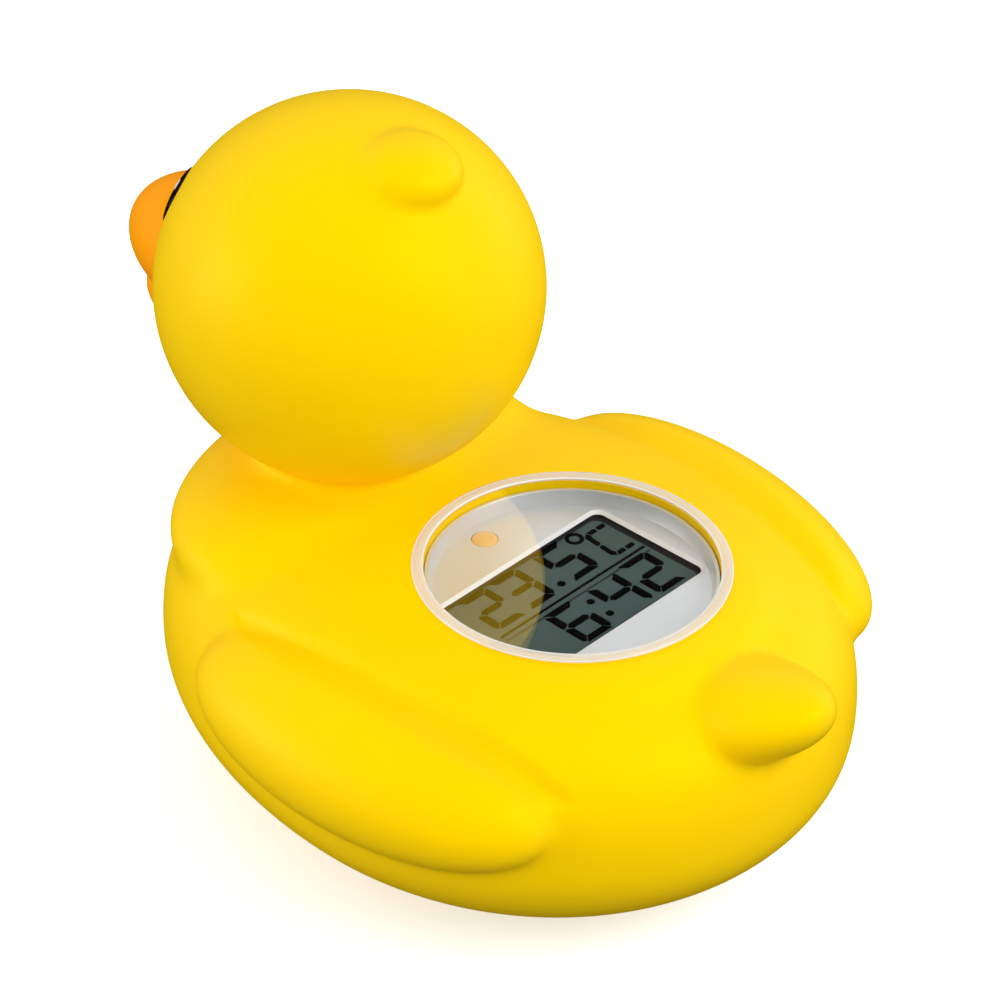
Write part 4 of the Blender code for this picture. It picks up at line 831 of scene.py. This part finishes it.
def make_panel(mats):
    """The crystal panel, and on it the temperature over a line and the time under it."""
    face = -PANEL_DEPTH
    box = [side + way * PANEL_OVERLAP for side, way in zip(WINDOW, (-1, 1, -1, 1))]
    panel = display_piece("crystal_panel", rounded(box, PANEL_OVERLAP), face - PANEL_THICK, face)
    dress(panel, mats["panel"], "panel", "lcd_panel")
    shapes = []
    for code, right, up in DIGIT_PLACES:
        shapes += digit_bars(code, right, up)
    shapes += [dot(*spot) for spot in DOTS]
    shapes += letter_c(*LETTER_PLACE)
    shapes.append(level_bar(*DIVIDER))
    degree = ring_mesh(*DEGREE_RING, INK_LOW, INK_HIGH)
    characters = many_prisms("display_characters", shapes, INK_LOW, INK_HIGH, [degree])
    dress(place("display_characters", characters, DISPLAY), mats["ink"], "panel", "lcd_panel")
    shadow = many_prisms("divider_shadow", [level_bar(*DIVIDER_SHADOW)], INK_LOW - SHADE_THICK / 2,
                         INK_LOW + SHADE_THICK / 2)
    dress(place("divider_shadow", shadow, DISPLAY), mats["shade"], "panel", "lcd_panel")


def make_lamp(mats):
    """The lamp's domed face in its hole in the plate."""
    foot, shoulder = -PLATE_FLOOR_DEPTH - LAMP_BODY, -PLATE_FLOOR_DEPTH - LAMP_SHOULDER
    profile = [(0, foot), (LAMP_RADIUS, foot), (LAMP_RADIUS, shoulder)]
    steps = 10
    for k in range(1, steps):
        a = math.pi / 2 * k / steps
        profile.append((LAMP_RADIUS * math.cos(a), shoulder + LAMP_DOME * math.sin(a)))
    profile.append((0, shoulder + LAMP_DOME))
    lamp = place("lamp_dome", turned("lamp_dome", profile, 64), lamp_middle())
    dress(lamp, mats["lamp"], "lamp", "indicator_lamp")


def dress_frame(mats):
    """Gives every solid of the frame that still shows its material."""
    slots = {row["node"]: row["material_slot"] for row in frame["record"]["subparts"]}
    for node, obj in frame["nodes"].items():
        mat = mats.get(slots.get(node, ""), mats["white_plastic"])
        obj.data.materials.clear()
        obj.data.materials.append(mat)


# Stage

def make_stage():
    """A wide pale floor that glows a little, so that it stays white round the duck."""
    r = FLOOR_REACH
    floor = place("floor", prism("floor", [(-r, -r), (r, -r), (r, r), (-r, r)], -FLOOR_THICK, -FLOOR_SINK))
    mat, nodes, links, shader = tree("floor_pale")
    drift = noise(nodes, links, 3.0)
    tone = ramp(nodes, links, drift.outputs["Fac"], (0.93, 0.93, 0.93), (0.95, 0.95, 0.95))
    links.new(tone.outputs["Color"], shader.inputs["Base Color"])
    shader.inputs["Roughness"].default_value = 0.9
    shader.inputs["Specular IOR Level"].default_value = 0.1
    shader.inputs["Emission Color"].default_value = (1.0, 1.0, 1.0, 1.0)
    shader.inputs["Emission Strength"].default_value = 0.45
    floor.data.materials.append(mat)
    floor.visible_diffuse = False
    floor.visible_glossy = False


def light(name, energy, size, location, target):
    data = bpy.data.lights.new(name, "AREA")
    data.energy = energy
    data.shape = "DISK"
    data.size = size
    obj = bpy.data.objects.new(name, data)
    bpy.context.scene.collection.objects.link(obj)
    obj.location = location
    obj.rotation_euler = (Vector(target) - Vector(location)).to_track_quat("-Z", "Y").to_euler()
    return obj


def make_lights():
    """A pale sky, brightest round the sides, with soft lights and one that only the display plate gets."""
    world = bpy.data.worlds.new("studio")
    bpy.context.scene.world = world
    world.use_nodes = True
    nodes, links = world.node_tree.nodes, world.node_tree.links
    back = nodes["Background"]
    coord = nodes.new("ShaderNodeTexCoord")
    split = nodes.new("ShaderNodeSeparateXYZ")
    links.new(coord.outputs["Generated"], split.inputs["Vector"])
    span = nodes.new("ShaderNodeMapRange")
    span.inputs["From Min"].default_value = -1.0
    span.inputs["From Max"].default_value = 1.0
    links.new(split.outputs["Z"], span.inputs["Value"])
    tone = nodes.new("ShaderNodeValToRGB")
    elements = tone.color_ramp.elements
    for height, _ in SKY[1:-1]:
        elements.new(height)
    for element, (_, value) in zip(elements, SKY):
        element.color = (value, value, value, 1)
    links.new(span.outputs["Result"], tone.inputs["Fac"])
    links.new(tone.outputs["Color"], back.inputs["Color"])
    back.inputs["Strength"].default_value = SKY_STRENGTH
    world.cycles_visibility.glossy = False
    light("key", 3.7, 0.6, (-0.14, 0.68, 0.64), (0, 0, 0.05))
    light("side", 3.3, 0.6, (0.74, -0.60, 0.18), (0, 0, 0.05))
    light("edge", 1.1, 0.4, (-0.80, 0.12, 0.16), (0, 0, 0.03)).visible_glossy = False
    sheen = light("plate_sheen", 2.7, 0.9, (-0.55, -0.48, 0.56), DISPLAY)
    sheen.visible_diffuse = False
    only = bpy.data.collections.new("plate_sheen_on")
    only.objects.link(bpy.data.objects["dish_plate"])
    sheen.light_linking.receiver_collection = only


def make_camera():
    """Looks at the duck from behind and above, over its left side, through a long lens."""
    azimuth, elevation, roll = (math.radians(a) for a in (AZIMUTH, ELEVATION, ROLL))
    back = Vector((math.sin(azimuth) * math.cos(elevation), -math.cos(azimuth) * math.cos(elevation),
                   math.sin(elevation)))
    level = Vector((math.cos(azimuth), math.sin(azimuth), 0))
    lift = back.cross(level)
    right = math.cos(roll) * level + math.sin(roll) * lift
    up = -math.sin(roll) * level + math.cos(roll) * lift
    pixels = FOCAL / SENSOR * PICTURE
    distance = pixels / PIXELS_PER_MM * MM
    aside, above = (DISPLAY_PIXEL[0] - PICTURE / 2) / pixels, (PICTURE / 2 - DISPLAY_PIXEL[1]) / pixels
    spot = DISPLAY - distance * (aside * right + above * up - back)
    data = bpy.data.cameras.new("camera")
    data.lens = FOCAL
    data.sensor_width = SENSOR
    data.clip_start = 0.01
    camera = bpy.data.objects.new("camera", data)
    bpy.context.scene.collection.objects.link(camera)
    turn = Matrix((right, up, back)).transposed().to_4x4()
    camera.matrix_world = Matrix.Translation(spot) @ turn
    bpy.context.scene.camera = camera


def main():
    mats = make_materials()
    dress_frame(mats)
    make_skin(mats)
    make_beak(mats)
    for side in (-1, 1):
        make_eye(side, mats)
    make_lens(mats)
    make_plate(mats)
    make_panel(mats)
    make_lamp(mats)
    make_stage()
    make_lights()
    make_camera()
    bpy.context.scene.view_settings.view_transform = "Standard"


main()
